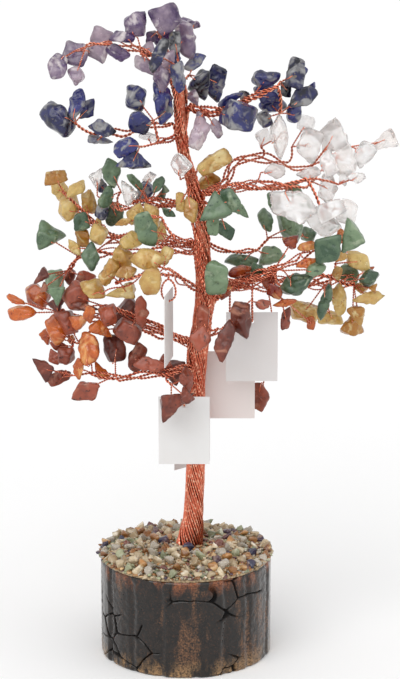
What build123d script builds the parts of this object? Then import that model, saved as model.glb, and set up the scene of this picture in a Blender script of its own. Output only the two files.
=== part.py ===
from build123d import *
import math
import os
import random
from collections import namedtuple

import numpy as np
from scipy.spatial import ConvexHull

# A table ornament: a small tree of twisted copper wire, its twigs tipped with chips of seven
# gemstones, planted in a slice of log that is topped with glued gravel.  Five blank card tags
# hang from the boughs on wire loops.  Lengths are in millimetres, angles in degrees.
# The origin is the middle of the underside, +Z is up and -Y faces the viewer.

# Log slice
BASE_DIAMETER = 76
BASE_HEIGHT = 43
BARK_THICKNESS = 4.5
BARK_RELIEF = 0.4
BARK_FURROWS = 17
FURROW_WIDTH = 3.2
FURROW_DEPTH = 1.5
FURROW_SHALLOWEST = 0.5
FURROW_WANDER = 1.6
BARK_FIT = 0.1
SOCKET_DEPTH = 24
SOCKET_FIT = 0.3

# Glue bed and gravel
BED_EDGE = 1.2
BED_CROWN = 5
BED_INSET = 1
GRAVEL_SIZE = 5
GRAVEL_SMALLEST = 0.7
GRAVEL_GAP = 0.3
GRAVEL_CORNERS = 8
GRAVEL_SINK = 0.8
GRAVEL_MARGIN = 2.2

# Copper wire: a bundle of several wires packs to this share of its round outline
WIRE_DIAMETER = 0.4
BUNDLE_FILL = 0.75
WIRES_PER_CHIP = 2
LIMB_TIP_WIRES = 4
LIMB_SIDES = 6
TWIG_SIDES = 5
STEM_SIDES = 3

# Trunk: a core wrapped with one strand for each bough, bare up to the lowest bough
BARE_TRUNK = 85
STRAND_SLOTS = 24
STRAND_RADIUS = 0.42
STRAND_SIDES = 4
STRAND_STEP = 7
STRAND_TURN = 72

# Chips: outlines of a few corners; as it stands tilted, a chip is larger than it looks
CHIP_OUTLINES = (3, 4, 4, 4, 5)
CHIP_RAGGED = 16
CHIP_SKEW = 35
CHIP_TAPER = (0.5, 0.85)
CHIP_UNEVEN = 0.8
CHIP_BULGE = 0.6
CHIP_SPARE = 1.2
CHIP_FLATNESS = 0.62
CHIP_TILT = 24
CHIP_GRIP = 0.25
CHIP_GAP = 0.3
DEPTH_STEP = 1.5
DEPTH_LIMIT = 24

# Tags
CARD_WIDTH = 22
CARD_HEIGHT = 30
CARD_THICKNESS = 0.4
CARD_HOLE_DIAMETER = 1.7
CARD_HOLE_DROP = 4
CARD_SWING = 25
TAG_WIRE_DIAMETER = 0.5
NECK_WIRES = 2
LOOP_FIT = 0.15
LOOP_WIDTH = 6
LOOP_HEIGHT = 9
LOOP_SIDES = 5

# The boughs were measured as they stand before the viewer: "across" to the right of the base's
# middle and "up" from the tip of the trunk, both in the plane of the trunk.  "depth" is how far
# behind that plane a piece lies, on the sight line from the viewer's eye.
EYE_DISTANCE = 850
EYE_ACROSS = 6.4
EYE_ABOVE_TIP = 85

SEED = 7

Branch = namedtuple("Branch", "name root limb sprays")
Spray = namedtuple("Spray", "stone fork chips")
Tag = namedtuple("Tag", "name branch hang drop turn")
Lump = namedtuple("Lump", "points axes middle low high along")

# Trunk bends, downwards from the tip: across, up, radius over the strands
TRUNK_BENDS = [
    (-1.6, 0, 2.4), (-1.6, -6, 2.8), (-1.2, -18, 2.9), (-0.2, -29, 2.7), (3.2, -40, 2.8),
    (5.1, -49, 3.0), (7.1, -63, 3.3), (8, -78, 3.4), (8.3, -92, 4.1), (5.4, -115, 4.3),
    (4.7, -127, 3.9), (4.5, -164, 4.1), (3.8, -181, 4.1),
]
TRUNK_FOOT = (2.4, 5.2)

# Each bough: the height where it leaves the trunk, the bends of its limb (across, up, depth),
# and its sprays.  A spray is a twig that ends in a fork; each of its stems carries one chip
# (across, up, length, width, lean of the long side clockwise from upright).
BRANCHES = [
    Branch("amethyst_left", -3, [
        (-7, 8, -3), (-13, 12, -6), (-18, 14, -8), (-25, 16, -9), (-31, 18, -10), (-40, 18, -12)], [
        Spray("amethyst", (-41, 17, -12), [(-45, 13, 10, 9, 0), (-45, 5, 7, 6, 0)]),
        Spray("amethyst", (-49, 13, -9), [(-53, 8, 9, 7, 20)]),
        Spray("amethyst", (-30, 18, -10), [(-35, 18, 12, 7, 15), (-28, 14, 9, 5, 120)]),
        Spray("amethyst", (-18, 15, -8), [
            (-21, 26, 9, 8, 0), (-26, 21, 9, 4, 90), (-17, 9, 10, 5, 120), (-15, 16, 6, 4, 30)]),
        Spray("lapis", (-8, 4, -4), [(-10, -2, 15, 7, -10)])]),
    Branch("amethyst_crown", -1, [(-4, 8, 2), (-7, 14, 3), (-10, 19, 2)], [
        Spray("amethyst", (-11, 23, -2), [(-9, 28, 12, 11, 75), (-14, 21, 6, 4, 20), (-9, 21, 7, 5, 65)]),
        Spray("amethyst", (-3, 15, 6), [(1, 19, 14, 7, -12), (0, 27, 7, 5, 60), (4, 26, 5, 3, 90)]),
        Spray("amethyst", (-5, 6, -6), [(-7, 11, 10, 5, 25), (-9, 4, 11, 7, -10)])]),
    Branch("lapis_crown", -5, [(0, 0, 4), (1, 4, 8)], [
        Spray("lapis", (-2, 8, -4), [
            (-11, 12, 13, 4, 25), (-4, 19, 8, 5, 10), (-3, 12, 7, 3, 0), (-3, 4, 12, 5, -10)]),
        Spray("lapis", (2, 5, 10), [(4, 10, 10, 5, 60), (6, 2, 11, 8, 20), (12, 2, 14, 8, 10)]),
        Spray("amethyst", (1, -2, 6), [(3, -5, 7, 5, -10)])]),
    Branch("lapis_left", -15, [(-8, -16, 2), (-15, -16, 4), (-24, -19, 5), (-32, -19, 5), (-40, -20, 4)], [
        Spray("lapis", (-46, -15, 2), [(-53, -13, 15, 10, -35), (-45, -7, 12, 5, 20), (-41, -9, 9, 6, 30)]),
        Spray("lapis", (-32, -19, 3), [(-34, -17, 12, 7, 95), (-35, -22, 10, 4, 95)])]),
    Branch("lapis_inner", -20, [(-6, -22, -6), (-11, -23, -10), (-16, -25, -14)], [
        Spray("lapis", (-19, -25, -16), [(-25, -25, 10, 6, 65), (-21, -30, 13, 7, 95)]),
        Spray("lapis", (-13, -14, -6), [(-20, -5, 9, 7, 0), (-19, -14, 9, 8, 0), (-8, -10, 11, 6, 15)]),
        Spray("quartz", (-14, -24, -4), [(-15, -21, 8, 3, 100)])]),
    Branch("lapis_right", -8, [(4, -9, 0), (10, -10, -3), (16, -9, -5), (27, -6, -6), (40, 2, -6)], [
        Spray("lapis", (16, -10, -8), [(19, -5, 11, 3, 62), (23, -12, 14, 11, 95), (15, -10, 4, 2, 90)]),
        Spray("lapis", (28, -5, -5), [(25, -4, 5, 4, 0), (34, 3, 12, 7, 80), (35, -3, 11, 7, 100)]),
        Spray("lapis", (40, 2, -4), [(46, 6, 12, 7, 0), (49, 6, 5, 3, 20), (42, -1, 6, 4, 0)]),
        Spray("lapis", (40, -11, 2), [
            (49, -4, 12, 7, 70), (53, -1, 7, 3, 15), (33, -13, 7, 7, 0), (37, -8, 11, 5, 85),
            (46, -11, 7, 6, 0)]),
        Spray("amethyst", (8, -10, -5), [(7, -14, 7, 4, 0), (6, -19, 11, 6, 15), (13, -17, 8, 4, -15)])]),
    Branch("quartz_upper", -46, [
        (11, -43, 3), (17, -40, 5), (20, -33, 7), (26, -30, 8), (35, -30, 10), (45, -33, 12),
        (53, -34, 12)], [
        Spray("quartz", (32, -25, 10), [(33, -21, 7, 6, 0), (40, -21, 19, 8, -5)]),
        Spray("quartz", (45, -25, 12), [(51, -15, 7, 7, 0), (52, -25, 13, 9, 10)]),
        Spray("quartz", (59, -26, 10), [(64, -20, 13, 11, 0), (67, -31, 12, 9, 0)]),
        Spray("quartz", (70, -25, 14), [(75, -28, 10, 8, 30), (83, -24, 12, 8, 60)])]),
    Branch("quartz_lower", -45, [
        (12, -44, -4), (19, -42, -8), (30, -42, -12), (42, -41, -14), (53, -40, -12), (64, -41, -10)], [
        Spray("quartz", (32, -36, -8), [(38, -35, 8, 5, 110)]),
        Spray("quartz", (42, -41, -16), [(46, -49, 18, 11, 110)]),
        Spray("aventurine", (41, -41, -12), [(46, -43, 9, 5, 110)]),
        Spray("aventurine", (37, -43, -12), [(37, -49, 10, 4, -25)]),
        Spray("quartz", (54, -40, -8), [(60, -31, 11, 7, 0), (60, -42, 12, 7, 0), (52, -36, 8, 4, 70)]),
        Spray("quartz", (65, -41, -10), [(72, -38, 7, 4, 85), (67, -39, 5, 4, 0)]),
        Spray("quartz", (57, -50, -14), [
            (58, -57, 16, 8, 135), (61, -52, 11, 7, 60), (69, -52, 9, 8, 0)])]),
    Branch("aventurine_center", -49, [(11, -49, -9), (13, -49, -13)], [
        Spray("aventurine", (14, -50, -14), [
            (14, -53, 12, 9, 30), (19, -48, 9, 7, -30), (24, -52, 7, 4, 125), (12, -58, 8, 5, 0),
            (17, -60, 8, 5, 125)])]),
    Branch("citrine_center", -40, [(4, -36, -7), (5, -34, -8)], [
        Spray("citrine", (6, -34, -8), [(12, -31, 13, 6, 65), (10, -39, 10, 7, 35)]),
        Spray("citrine", (1, -44, -9), [(3, -52, 10, 5, 0), (-2, -49, 7, 3, 0)]),
        Spray("quartz", (-2, -39, -9), [(-2, -33, 9, 8, 0)])]),
    Branch("aventurine_right", -66, [(15, -69, 6), (22, -70, 10), (29, -69, 13), (35, -65, 15)], [
        Spray("aventurine", (35, -64, 15), [
            (34, -56, 10, 6, -15), (45, -60, 14, 9, -20), (53, -63, 7, 6, 0)]),
        Spray("aventurine", (30, -69, 12), [(36, -71, 11, 8, 60), (24, -74, 13, 5, 95)])]),
    Branch("carnelian_right", -87, [
        (18, -84, -4), (28, -83, -8), (38, -77, -10), (49, -72, -12), (57, -69, -12)], [
        Spray("carnelian", (23, -83, -8), [(25, -79, 11, 5, 95), (17, -87, 7, 4, 20)]),
        Spray("aventurine", (26, -83, -10), [(31, -78, 6, 5, 0), (14, -81, 12, 8, 0)]),
        Spray("carnelian", (39, -76, -10), [
            (36, -82, 8, 6, 20), (38, -87, 7, 5, -30), (45, -66, 6, 5, 90)]),
        Spray("carnelian", (49, -71, -12), [(52, -68, 8, 4, 80), (52, -75, 10, 4, 75)]),
        Spray("aventurine", (42, -78, -14), [(47, -84, 15, 8, 65), (56, -78, 8, 5, 70)]),
        Spray("aventurine", (58, -69, -12), [(61, -68, 13, 10, 20), (72, -62, 14, 9, 0)]),
        Spray("carnelian", (61, -69, -6), [(66, -63, 8, 4, -30)]),
        Spray("carnelian", (40, -89, -10), [(43, -92, 11, 3, 72), (54, -101, 5, 3, 0)]),
        Spray("jasper", (41, -90, -8), [(43, -99, 10, 4, 10)])]),
    Branch("citrine_right", -91, [
        (21, -85, 8), (36, -84, 14), (49, -83, 16), (64, -83, 14), (72, -83, 12)], [
        Spray("citrine", (59, -85, 12), [
            (66, -92, 16, 6, -5), (51, -96, 11, 7, 100), (62, -99, 13, 6, 105)]),
        Spray("aventurine", (60, -84, 6), [(60, -91, 14, 4, 20)]),
        Spray("citrine", (64, -75, 8), [(66, -72, 7, 4, 75), (74, -74, 10, 6, 115), (65, -79, 6, 4, 0)]),
        Spray("aventurine", (68, -83, 8), [(70, -79, 8, 8, 0), (79, -81, 8, 6, 60)]),
        Spray("citrine", (72, -84, 12), [
            (75, -86, 6, 5, 90), (80, -86, 4, 3, 0), (78, -90, 14, 5, 85), (75, -97, 9, 7, -30),
            (72, -103, 10, 8, 45)]),
        Spray("carnelian", (74, -80, 10), [(78, -78, 6, 3, 65)]),
        Spray("jasper", (38, -108, 15), [(33, -133, 12, 7, -10)])]),
    Branch("aventurine_left", -51, [
        (0, -49, 4), (-6, -49, 6), (-15, -49, 8), (-23, -50, 10), (-30, -50, 12)], [
        Spray("aventurine", (-15, -49, 6), [
            (-21, -40, 8, 3, -40), (-11, -41, 7, 4, 35), (-8, -43, 4, 3, 0), (-10, -46, 5, 3, 35)]),
        Spray("lapis", (-15, -49, 8), [(-17, -44, 8, 6, 20)]),
        Spray("quartz", (-20, -49, 9), [(-24, -44, 10, 6, -25), (-15, -38, 6, 4, 60)]),
        Spray("aventurine", (-27, -44, 12), [(-31, -36, 11, 7, -5), (-33, -47, 9, 5, 25)]),
        Spray("quartz", (-37, -46, 14), [(-38, -38, 9, 5, 15)]),
        Spray("lapis", (-32, -46, 16), [(-35, -41, 6, 4, 0), (-35, -52, 8, 5, 10)]),
        Spray("aventurine", (-30, -50, 12), [(-30, -54, 10, 7, 20)]),
        Spray("aventurine", (-5, -50, 2), [(-7, -53, 6, 3, 120)])]),
    Branch("citrine_far_left", -68, [
        (-5, -66, 4), (-19, -64, 10), (-30, -64, 14), (-37, -59, 16), (-41, -54, 18)], [
        Spray("citrine", (-41, -54, 18), [(-49, -52, 11, 8, 0), (-41, -49, 10, 6, 0), (-37, -57, 6, 4, 0)]),
        Spray("citrine", (-50, -46, 18), [
            (-55, -38, 9, 5, 80), (-53, -43, 10, 5, -20), (-46, -43, 9, 5, 60)]),
        Spray("aventurine", (-39, -59, 14), [(-44, -57, 8, 7, 20)]),
        Spray("citrine", (-30, -64, 14), [(-36, -63, 9, 8, 0), (-43, -64, 7, 6, 0)]),
        Spray("aventurine", (-37, -69, 12), [(-40, -72, 12, 7, 0)]),
        Spray("citrine", (-37, -69, 14), [(-47, -68, 8, 4, -40)])]),
    Branch("citrine_hub", -65, [(-2, -65, -5), (-6, -63, -9)], [
        Spray("citrine", (-10, -55, -8), [
            (-21, -54, 9, 6, 45), (-14, -54, 11, 6, -25), (-26, -57, 8, 3, 70)]),
        Spray("aventurine", (-10, -62, -14), [(-17, -60, 14, 8, -20)]),
        Spray("citrine", (-8, -65, -8), [(-11, -61, 8, 5, 0), (-22, -65, 9, 6, 60)])]),
    Branch("citrine_left", -87, [
        (-1, -83, -11), (-8, -78, -20), (-16, -79, -18), (-23, -83, -15), (-31, -84, -11), (-35, -89, -8)], [
        Spray("citrine", (-9, -77, -21), [
            (-16, -73, 14, 9, 90), (-8, -72, 7, 4, 20), (-15, -82, 10, 8, 0)]),
        Spray("citrine", (-28, -83, -10), [
            (-27, -73, 10, 8, 0), (-25, -79, 8, 5, 90), (-33, -79, 10, 5, 30), (-28, -87, 11, 7, 75)]),
        Spray("citrine", (-35, -88, -8), [(-39, -86, 11, 8, 120)])]),
    Branch("jasper_left", -111, [
        (-6, -106, 6), (-12, -102, 6), (-19, -100, 3), (-28, -96, -2), (-36, -93, -2)], [
        Spray("jasper", (-21, -99, -4), [
            (-25, -97, 14, 10, 30), (-19, -96, 13, 5, -5), (-24, -105, 12, 9, -40)]),
        Spray("jasper", (-36, -93, -2), [
            (-33, -97, 10, 8, 10), (-43, -94, 11, 3, 100), (-47, -89, 11, 10, 0)]),
        Spray("carnelian", (-36, -97, 0), [
            (-41, -97, 8, 5, 0), (-35, -103, 10, 6, 115), (-45, -101, 9, 6, 85)])]),
    Branch("jasper_far_left", -70, [
        (-6, -69, 12), (-19, -70, 18), (-34, -70, 20), (-44, -72, 20), (-49, -78, 20)], [
        Spray("aventurine", (-50, -78, 18), [(-56, -82, 11, 10, 30), (-55, -89, 7, 6, 0)]),
        Spray("jasper", (-50, -78, 20), [
            (-49, -81, 8, 5, 0), (-42, -81, 8, 5, 95), (-61, -81, 8, 4, 40), (-60, -85, 4, 3, 0)]),
        Spray("aventurine", (-45, -72, 20), [(-57, -63, 11, 11, 0)])]),
    Branch("carnelian_left", -114, [
        (3, -110, 18), (-11, -105, 17), (-23, -102, 16), (-36, -100, 16), (-54, -96, 16)], [
        Spray("carnelian", (-54, -96, 16), [
            (-64, -89, 11, 8, 130), (-73, -91, 8, 3, 110), (-70, -97, 12, 6, 80)]),
        Spray("jasper", (-53, -96, 14), [(-54, -93, 8, 5, 60)]),
        Spray("carnelian", (-46, -110, 10), [
            (-55, -104, 12, 7, -15), (-60, -106, 8, 5, 0), (-49, -108, 4, 3, 0)]),
        Spray("jasper", (-46, -109, 12), [(-50, -100, 11, 7, -30)]),
        Spray("jasper", (-48, -111, 10), [
            (-54, -111, 9, 4, 110), (-56, -116, 6, 5, 0), (-51, -116, 7, 6, 0)])]),
    Branch("jasper_low", -120, [
        (-2, -121, -8), (-10, -124, -10), (-19, -124, -8), (-30, -124, -6), (-41, -123, -4)], [
        Spray("jasper", (-11, -124, -12), [
            (-15, -119, 14, 6, 100), (-9, -119, 9, 7, 0), (-5, -123, 9, 8, 0), (-21, -116, 12, 6, 15)]),
        Spray("jasper", (-6, -128, -14), [
            (-5, -135, 15, 9, 60), (0, -126, 11, 6, -10), (1, -133, 6, 5, 0)]),
        Spray("jasper", (-30, -124, -6), [(-43, -130, 12, 8, 75), (-30, -112, 10, 7, -15)]),
        Spray("carnelian", (-40, -123, -4), [
            (-37, -122, 9, 5, -25), (-41, -113, 14, 8, 0), (-46, -121, 9, 4, 0)]),
        Spray("jasper", (-48, -124, -2), [(-61, -120, 11, 6, -35), (-55, -125, 9, 5, 80)])]),
    Branch("jasper_center", -107, [(10, -106, -10), (14, -104, -15), (17, -102, -17)], [
        Spray("jasper", (17, -102, -17), [(24, -100, 14, 8, -10), (17, -109, 15, 6, 18)]),
        Spray("jasper", (11, -104, -14), [(8, -99, 10, 5, 0), (7, -108, 10, 8, 0)]),
        Spray("jasper", (28, -91, -15), [(33, -93, 6, 4, 90)])]),
]

# Each tag: the bough and the place on it where the loop is twisted on, how far the loop's
# bottom hangs below, and the card's turn about the upright from facing the viewer.
TAGS = [
    Tag("a", "citrine_left", (-7, -79, -19), 12, 82),
    Tag("b", "carnelian_right", (29, -83, -8), 17, 0),
    Tag("c", "citrine_right", (19, -86, 7), 31, 0),
    Tag("d", "jasper_low", (0, -121, -7), 16, 0),
    Tag("e", "carnelian_left", (3, -110, 18), 29, 45),
]

# The closed loop of a tag in its own plane, as shares of its width and height
LOOP_SHAPE = [
    (-0.17, 0), (0.17, 0), (0.44, 0.18), (0.5, 0.48), (0.36, 0.8), (0, 1),
    (-0.36, 0.8), (-0.5, 0.48), (-0.44, 0.18),
]

# The gravel's kinds of stone, as they come in each handful of ten
GRAVEL_MIX = ["cream"] * 4 + ["amber"] * 2 + ["clear"] * 2 + ["green", "dark"]

# Heights of the bark's rings of facets and the rim of the glue bed, as shares
BARK_LEVELS = (0, 0.08, 0.36, 0.66, 0.93, 1)
BED_PROFILE = ((0, 1), (0.6, 0.7), (1, 0))

TRUNK_HEIGHT = BARE_TRUNK - min(branch.root for branch in BRANCHES)
TIP_HEIGHT = BASE_HEIGHT + TRUNK_HEIGHT
EYE = np.array((EYE_ACROSS, -EYE_DISTANCE, TIP_HEIGHT + EYE_ABOVE_TIP))
TAG_WIRE_RADIUS = TAG_WIRE_DIAMETER / 2


def unit(vector):
    return vector / np.linalg.norm(vector)


def sight(across, up, depth):
    """A point at some depth on the sight line through a place in the trunk's plane."""
    in_plane = np.array((across, 0, TIP_HEIGHT + up))
    return EYE + (in_plane - EYE) * (EYE_DISTANCE + depth) / EYE_DISTANCE


def bundle_radius(wires, diameter=WIRE_DIAMETER):
    return diameter / 2 * math.sqrt(wires / BUNDLE_FILL)


def closed_solid(faces):
    """A solid from flat faces, each a list of corners seen anticlockwise from outside."""
    flat = []
    for corners in faces:
        flat.append(Face(Wire.make_polygon([tuple(map(float, corner)) for corner in corners])))
    return Solid(Shell(flat))


def hull_faces(points):
    hull = ConvexHull(points)
    faces = []
    for corners, plane in zip(hull.simplices, hull.equations):
        a, b, c = points[corners]
        outward = np.dot(np.cross(b - a, c - a), plane[:3]) > 0
        faces.append((a, b, c) if outward else (a, c, b))
    return faces


def lump(points, along=None):
    """A convex piece as the placing of the chips sees it: corners, facet normals and box."""
    axes = np.unique(np.round(ConvexHull(points).equations[:, :3], 5), axis=0)
    return Lump(points, axes, points.mean(axis=0), points.min(axis=0), points.max(axis=0), along)


def apart(one, other, gap):
    """Whether a flat plane with some room on both sides fits between two lumps."""
    between = other.middle - one.middle
    axes = [one.axes, other.axes, [between]]
    for along in (one.along, other.along):
        if along is not None:
            axes.append([between - np.dot(between, along) * along])
    axes = np.vstack(axes)
    lengths = np.linalg.norm(axes, axis=1)
    axes = axes[lengths > 1e-6] / lengths[lengths > 1e-6, None]
    near = axes @ one.points.T
    far = axes @ other.points.T
    room = np.maximum(far.min(1) - near.max(1), near.min(1) - far.max(1))
    return room.max() >= gap


class Thicket:
    """The pieces placed so far, each under the name of its bough or kind."""

    def __init__(self):
        self.lumps = []
        self.owners = []

    def add(self, piece, owner):
        self.lumps.append(piece)
        self.owners.append(owner)

    def clear(self, piece, spared):
        lows = np.array([placed.low for placed in self.lumps])
        highs = np.array([placed.high for placed in self.lumps])
        near = np.all((lows < piece.high + CHIP_GAP) & (highs > piece.low - CHIP_GAP), axis=1)
        for index in np.flatnonzero(near):
            if self.owners[index] not in spared and not apart(piece, self.lumps[index], CHIP_GAP):
                return False
        return True


def ring(middle, normal, start, radius, sides):
    """Corners of a regular polygon about a middle, the first one in the start direction."""
    first = unit(start - np.dot(start, normal) * normal)
    second = np.cross(normal, first)
    turns = [2 * math.pi * side / sides for side in range(sides)]
    return [middle + radius * (math.cos(turn) * first + math.sin(turn) * second) for turn in turns]


def tube_rings(path, radii, sides):
    """Rings of a wire bundle along a bent path."""
    steps = [unit(after - before) for before, after in zip(path, path[1:])]
    tangents = [steps[0]] + [unit(one + two) for one, two in zip(steps, steps[1:])] + [steps[-1]]
    start = np.eye(3)[np.argmin(np.abs(tangents[0]))]
    rings = []
    for middle, tangent, radius in zip(path, tangents, radii):
        rings.append(ring(middle, tangent, start, radius, sides))
        start = rings[-1][0] - middle
    return rings


def skin(rings, closed=False):
    """Faces that join each ring to the next, with a cap on both ends of an open row."""
    faces = [] if closed else [rings[0][::-1], rings[-1]]
    following = rings[1:] + rings[:1] if closed else rings[1:]
    for lower, upper in zip(rings, following):
        for side in range(len(lower)):
            beside = (side + 1) % len(lower)
            faces.append((lower[side], lower[beside], upper[beside]))
            faces.append((lower[side], upper[beside], upper[side]))
    return faces


def prism(start, end, radius, sides):
    """Corners of a straight bundle of wire: its two rings one after the other."""
    return np.array(sum(tube_rings([start, end], [radius, radius], sides), []))


def prism_solid(points):
    sides = len(points) // 2
    lower, upper = list(points[:sides]), list(points[sides:])
    faces = [lower[::-1], upper]
    for side in range(sides):
        beside = (side + 1) % sides
        faces.append((lower[side], lower[beside], upper[beside], upper[side]))
    return closed_solid(faces)


def trunk_at(up):
    """Middle of the trunk and its outer radius at a height measured from the tip."""
    ups = [-TRUNK_HEIGHT] + [bend[1] for bend in reversed(TRUNK_BENDS)]
    acrosses = [TRUNK_FOOT[0]] + [bend[0] for bend in reversed(TRUNK_BENDS)]
    radii = [TRUNK_FOOT[1]] + [bend[2] for bend in reversed(TRUNK_BENDS)]
    middle = np.array((np.interp(up, ups, acrosses), 0, TIP_HEIGHT + up))
    return middle, np.interp(up, ups, radii)


def strand_at(slot, up):
    """Middle line of a trunk strand: it winds round the core, clockwise on its way up."""
    middle, radius = trunk_at(up)
    turn = 2 * math.pi * (slot / STRAND_SLOTS - (up + TRUNK_HEIGHT) / STRAND_TURN)
    return middle + (radius - STRAND_RADIUS) * np.array((math.cos(turn), math.sin(turn), 0))


def strand_slots():
    """The strand that each bough continues: the free one nearest to where the limb heads."""
    free = list(range(STRAND_SLOTS))
    taken = {}
    for branch in BRANCHES:
        heading = unit(sight(*branch.limb[0]) - trunk_at(branch.root)[0])
        middle = trunk_at(branch.root)[0]
        slot = max(free, key=lambda each: np.dot(strand_at(each, branch.root) - middle, heading))
        free.remove(slot)
        taken[branch.name] = slot
    return taken, free


def strand(slot, top):
    foot = -TRUNK_HEIGHT - SOCKET_DEPTH + SOCKET_FIT
    stations = np.linspace(foot, top, math.ceil((top - foot) / STRAND_STEP) + 1)
    path = [strand_at(slot, up) for up in stations]
    return closed_solid(skin(tube_rings(path, [STRAND_RADIUS] * len(path), STRAND_SIDES)))


def trunk_core():
    foot = -TRUNK_HEIGHT - SOCKET_DEPTH + SOCKET_FIT
    stations = [foot, -TRUNK_HEIGHT] + [bend[1] for bend in reversed(TRUNK_BENDS)]
    path = [trunk_at(up)[0] for up in stations]
    radii = [trunk_at(up)[1] - 2 * STRAND_RADIUS for up in stations]
    return closed_solid(skin(tube_rings(path, radii, LIMB_SIDES)))


def turned(points, axis, angle):
    """Points turned about an axis through the origin by the right-hand rule."""
    swing = math.radians(angle)
    along = np.outer(points @ axis, axis)
    return along + (points - along) * math.cos(swing) + np.cross(axis, points) * math.sin(swing)


def chip_shape(length, width, lean, dice):
    """Corners of a broken and tumbled chip about its own middle: an outline of a few corners in
    front and a smaller one skewed behind it, or the other way round, tilted a little and leaning
    in the viewer's plane."""
    sides = dice.choice(CHIP_OUTLINES)
    start = dice.uniform(0, 360)
    smaller = dice.uniform(*CHIP_TAPER)
    front, back = dice.choice([(1, smaller), (smaller, 1)])
    skew = dice.uniform(-CHIP_SKEW, CHIP_SKEW)
    corners = []
    for face, share, turn in ((-1, front, 0), (1, back, skew)):
        for corner in range(sides):
            ragged = dice.uniform(-CHIP_RAGGED, CHIP_RAGGED)
            angle = math.radians(start + turn + 360 * corner / sides + ragged)
            reach = share * dice.uniform(CHIP_UNEVEN, 1)
            bulge = face * dice.uniform(CHIP_BULGE, 1)
            corners.append((reach * math.cos(angle), bulge, reach * math.sin(angle)))
    points = np.array(corners)
    points -= (points.max(axis=0) + points.min(axis=0)) / 2
    points *= CHIP_SPARE * np.array((width, CHIP_FLATNESS * width, length)) / np.ptp(points, axis=0)
    points = turned(points, UPRIGHT, dice.uniform(-CHIP_TILT, CHIP_TILT))
    points = turned(points, RIGHTWARD, dice.uniform(-CHIP_TILT, CHIP_TILT))
    return turned(points, BACKWARD, lean)


def chip_at(middle, shape, grip, fork):
    """A chip about some middle, and the straight stem that runs from the fork into it."""
    pull = fork - middle
    stem = prism(fork, middle + grip * unit(pull), STEM_RADIUS, STEM_SIDES)
    return lump(shape + middle), lump(stem, unit(pull))


def seat_chip(thicket, branch, chip, fork, depth, dice):
    """Moves a chip along its sight line, from the fork's own depth outwards, until it and its
    stem clear all that is already there.  In a crowded spray a chip may touch wires of its own
    bough, and failing that it goes as far out as it must."""
    across, up, length, width, lean = chip
    shape = chip_shape(length, width, lean, dice)
    grip = CHIP_GRIP * width
    wires, stones = branch.name, branch.name + " chips"
    for stone_spares, stem_spares in (((), (wires,)), ((wires,), (wires, stones))):
        for shift in DEPTH_SHIFTS:
            stone, stem = chip_at(sight(across, up, depth + shift), shape, grip, fork)
            if thicket.clear(stone, stone_spares) and thicket.clear(stem, stem_spares):
                return stone, stem
    while not thicket.clear(stone, ()):
        shift += DEPTH_STEP
        stone, stem = chip_at(sight(across, up, depth + shift), shape, grip, fork)
    print("crowded out:", branch.name, chip)
    return stone, stem


def nearest_bend(path, point):
    """The number of the bend of a path that is nearest to a point."""
    return min(range(len(path)), key=lambda bend: np.linalg.norm(path[bend] - point))


def nearest_on(path, point):
    """The place on a bent path that is nearest to a point."""
    places = []
    for start, end in zip(path, path[1:]):
        share = np.dot(point - start, end - start) / np.dot(end - start, end - start)
        places.append(start + np.clip(share, 0, 1) * (end - start))
    return min(places, key=lambda place: np.linalg.norm(place - point))


def bed_height(radius):
    """Height of the glue bed's top over the log, at some distance from its middle."""
    shares, rises = zip(*BED_PROFILE)
    return BED_EDGE + (BED_CROWN - BED_EDGE) * np.interp(radius / BED_RADIUS, shares, rises)


def bark_shell(dice):
    """The bark: upright plates of uneven thickness with wandering furrows between them, round a
    round bore."""
    face_radius = BASE_DIAMETER / 2 - BARK_RELIEF
    half_furrow = FURROW_WIDTH / 2 / face_radius
    plates = [dice.uniform(-BARK_RELIEF, BARK_RELIEF) for plate in range(BARK_FURROWS)]
    depths = [FURROW_DEPTH * dice.uniform(FURROW_SHALLOWEST, 1) for furrow in range(BARK_FURROWS)]
    shifts = [dice.uniform(-FURROW_WANDER, FURROW_WANDER) for furrow in range(BARK_FURROWS)]
    rings = []
    for level in BARK_LEVELS:
        corners = []
        for furrow in range(BARK_FURROWS):
            wander = shifts[furrow] + dice.uniform(-FURROW_WANDER, FURROW_WANDER) / 2
            angle = 2 * math.pi * furrow / BARK_FURROWS + wander / face_radius
            middle = 2 * math.pi * (furrow + 0.5) / BARK_FURROWS
            before, after = plates[furrow - 1], plates[furrow]
            low = min(before, after) - depths[furrow]
            for turn, rise in ((angle - half_furrow, before), (angle, low), (angle + half_furrow, after),
                               (middle, after)):
                radius = face_radius + rise
                corners.append(np.array((
                    radius * math.cos(turn), radius * math.sin(turn), level * BASE_HEIGHT)))
        rings.append(corners)
    log = closed_solid(skin(rings))
    return log - Cylinder(WOOD_RADIUS + BARK_FIT, BASE_HEIGHT, align=FROM_BELOW)


def wood_core():
    log = Cylinder(WOOD_RADIUS, BASE_HEIGHT, align=FROM_BELOW)
    socket = Cylinder(SOCKET_RADIUS, SOCKET_DEPTH, align=FROM_BELOW)
    return log - Pos(TRUNK_FOOT[0], 0, BASE_HEIGHT - SOCKET_DEPTH) * socket


def glue_bed():
    profile = [(0, 0), (BED_RADIUS, 0)]
    for share, rise in reversed(BED_PROFILE):
        profile.append((share * BED_RADIUS, bed_height(share * BED_RADIUS)))
    section = Plane.XZ * make_face(Polyline(*profile, close=True))
    bed = Pos(0, 0, BASE_HEIGHT) * revolve(section, Axis.Z)
    return bed - Pos(TRUNK_FOOT[0], 0, BASE_HEIGHT) * Cylinder(SOCKET_RADIUS, BED_CROWN, align=FROM_BELOW)


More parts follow.
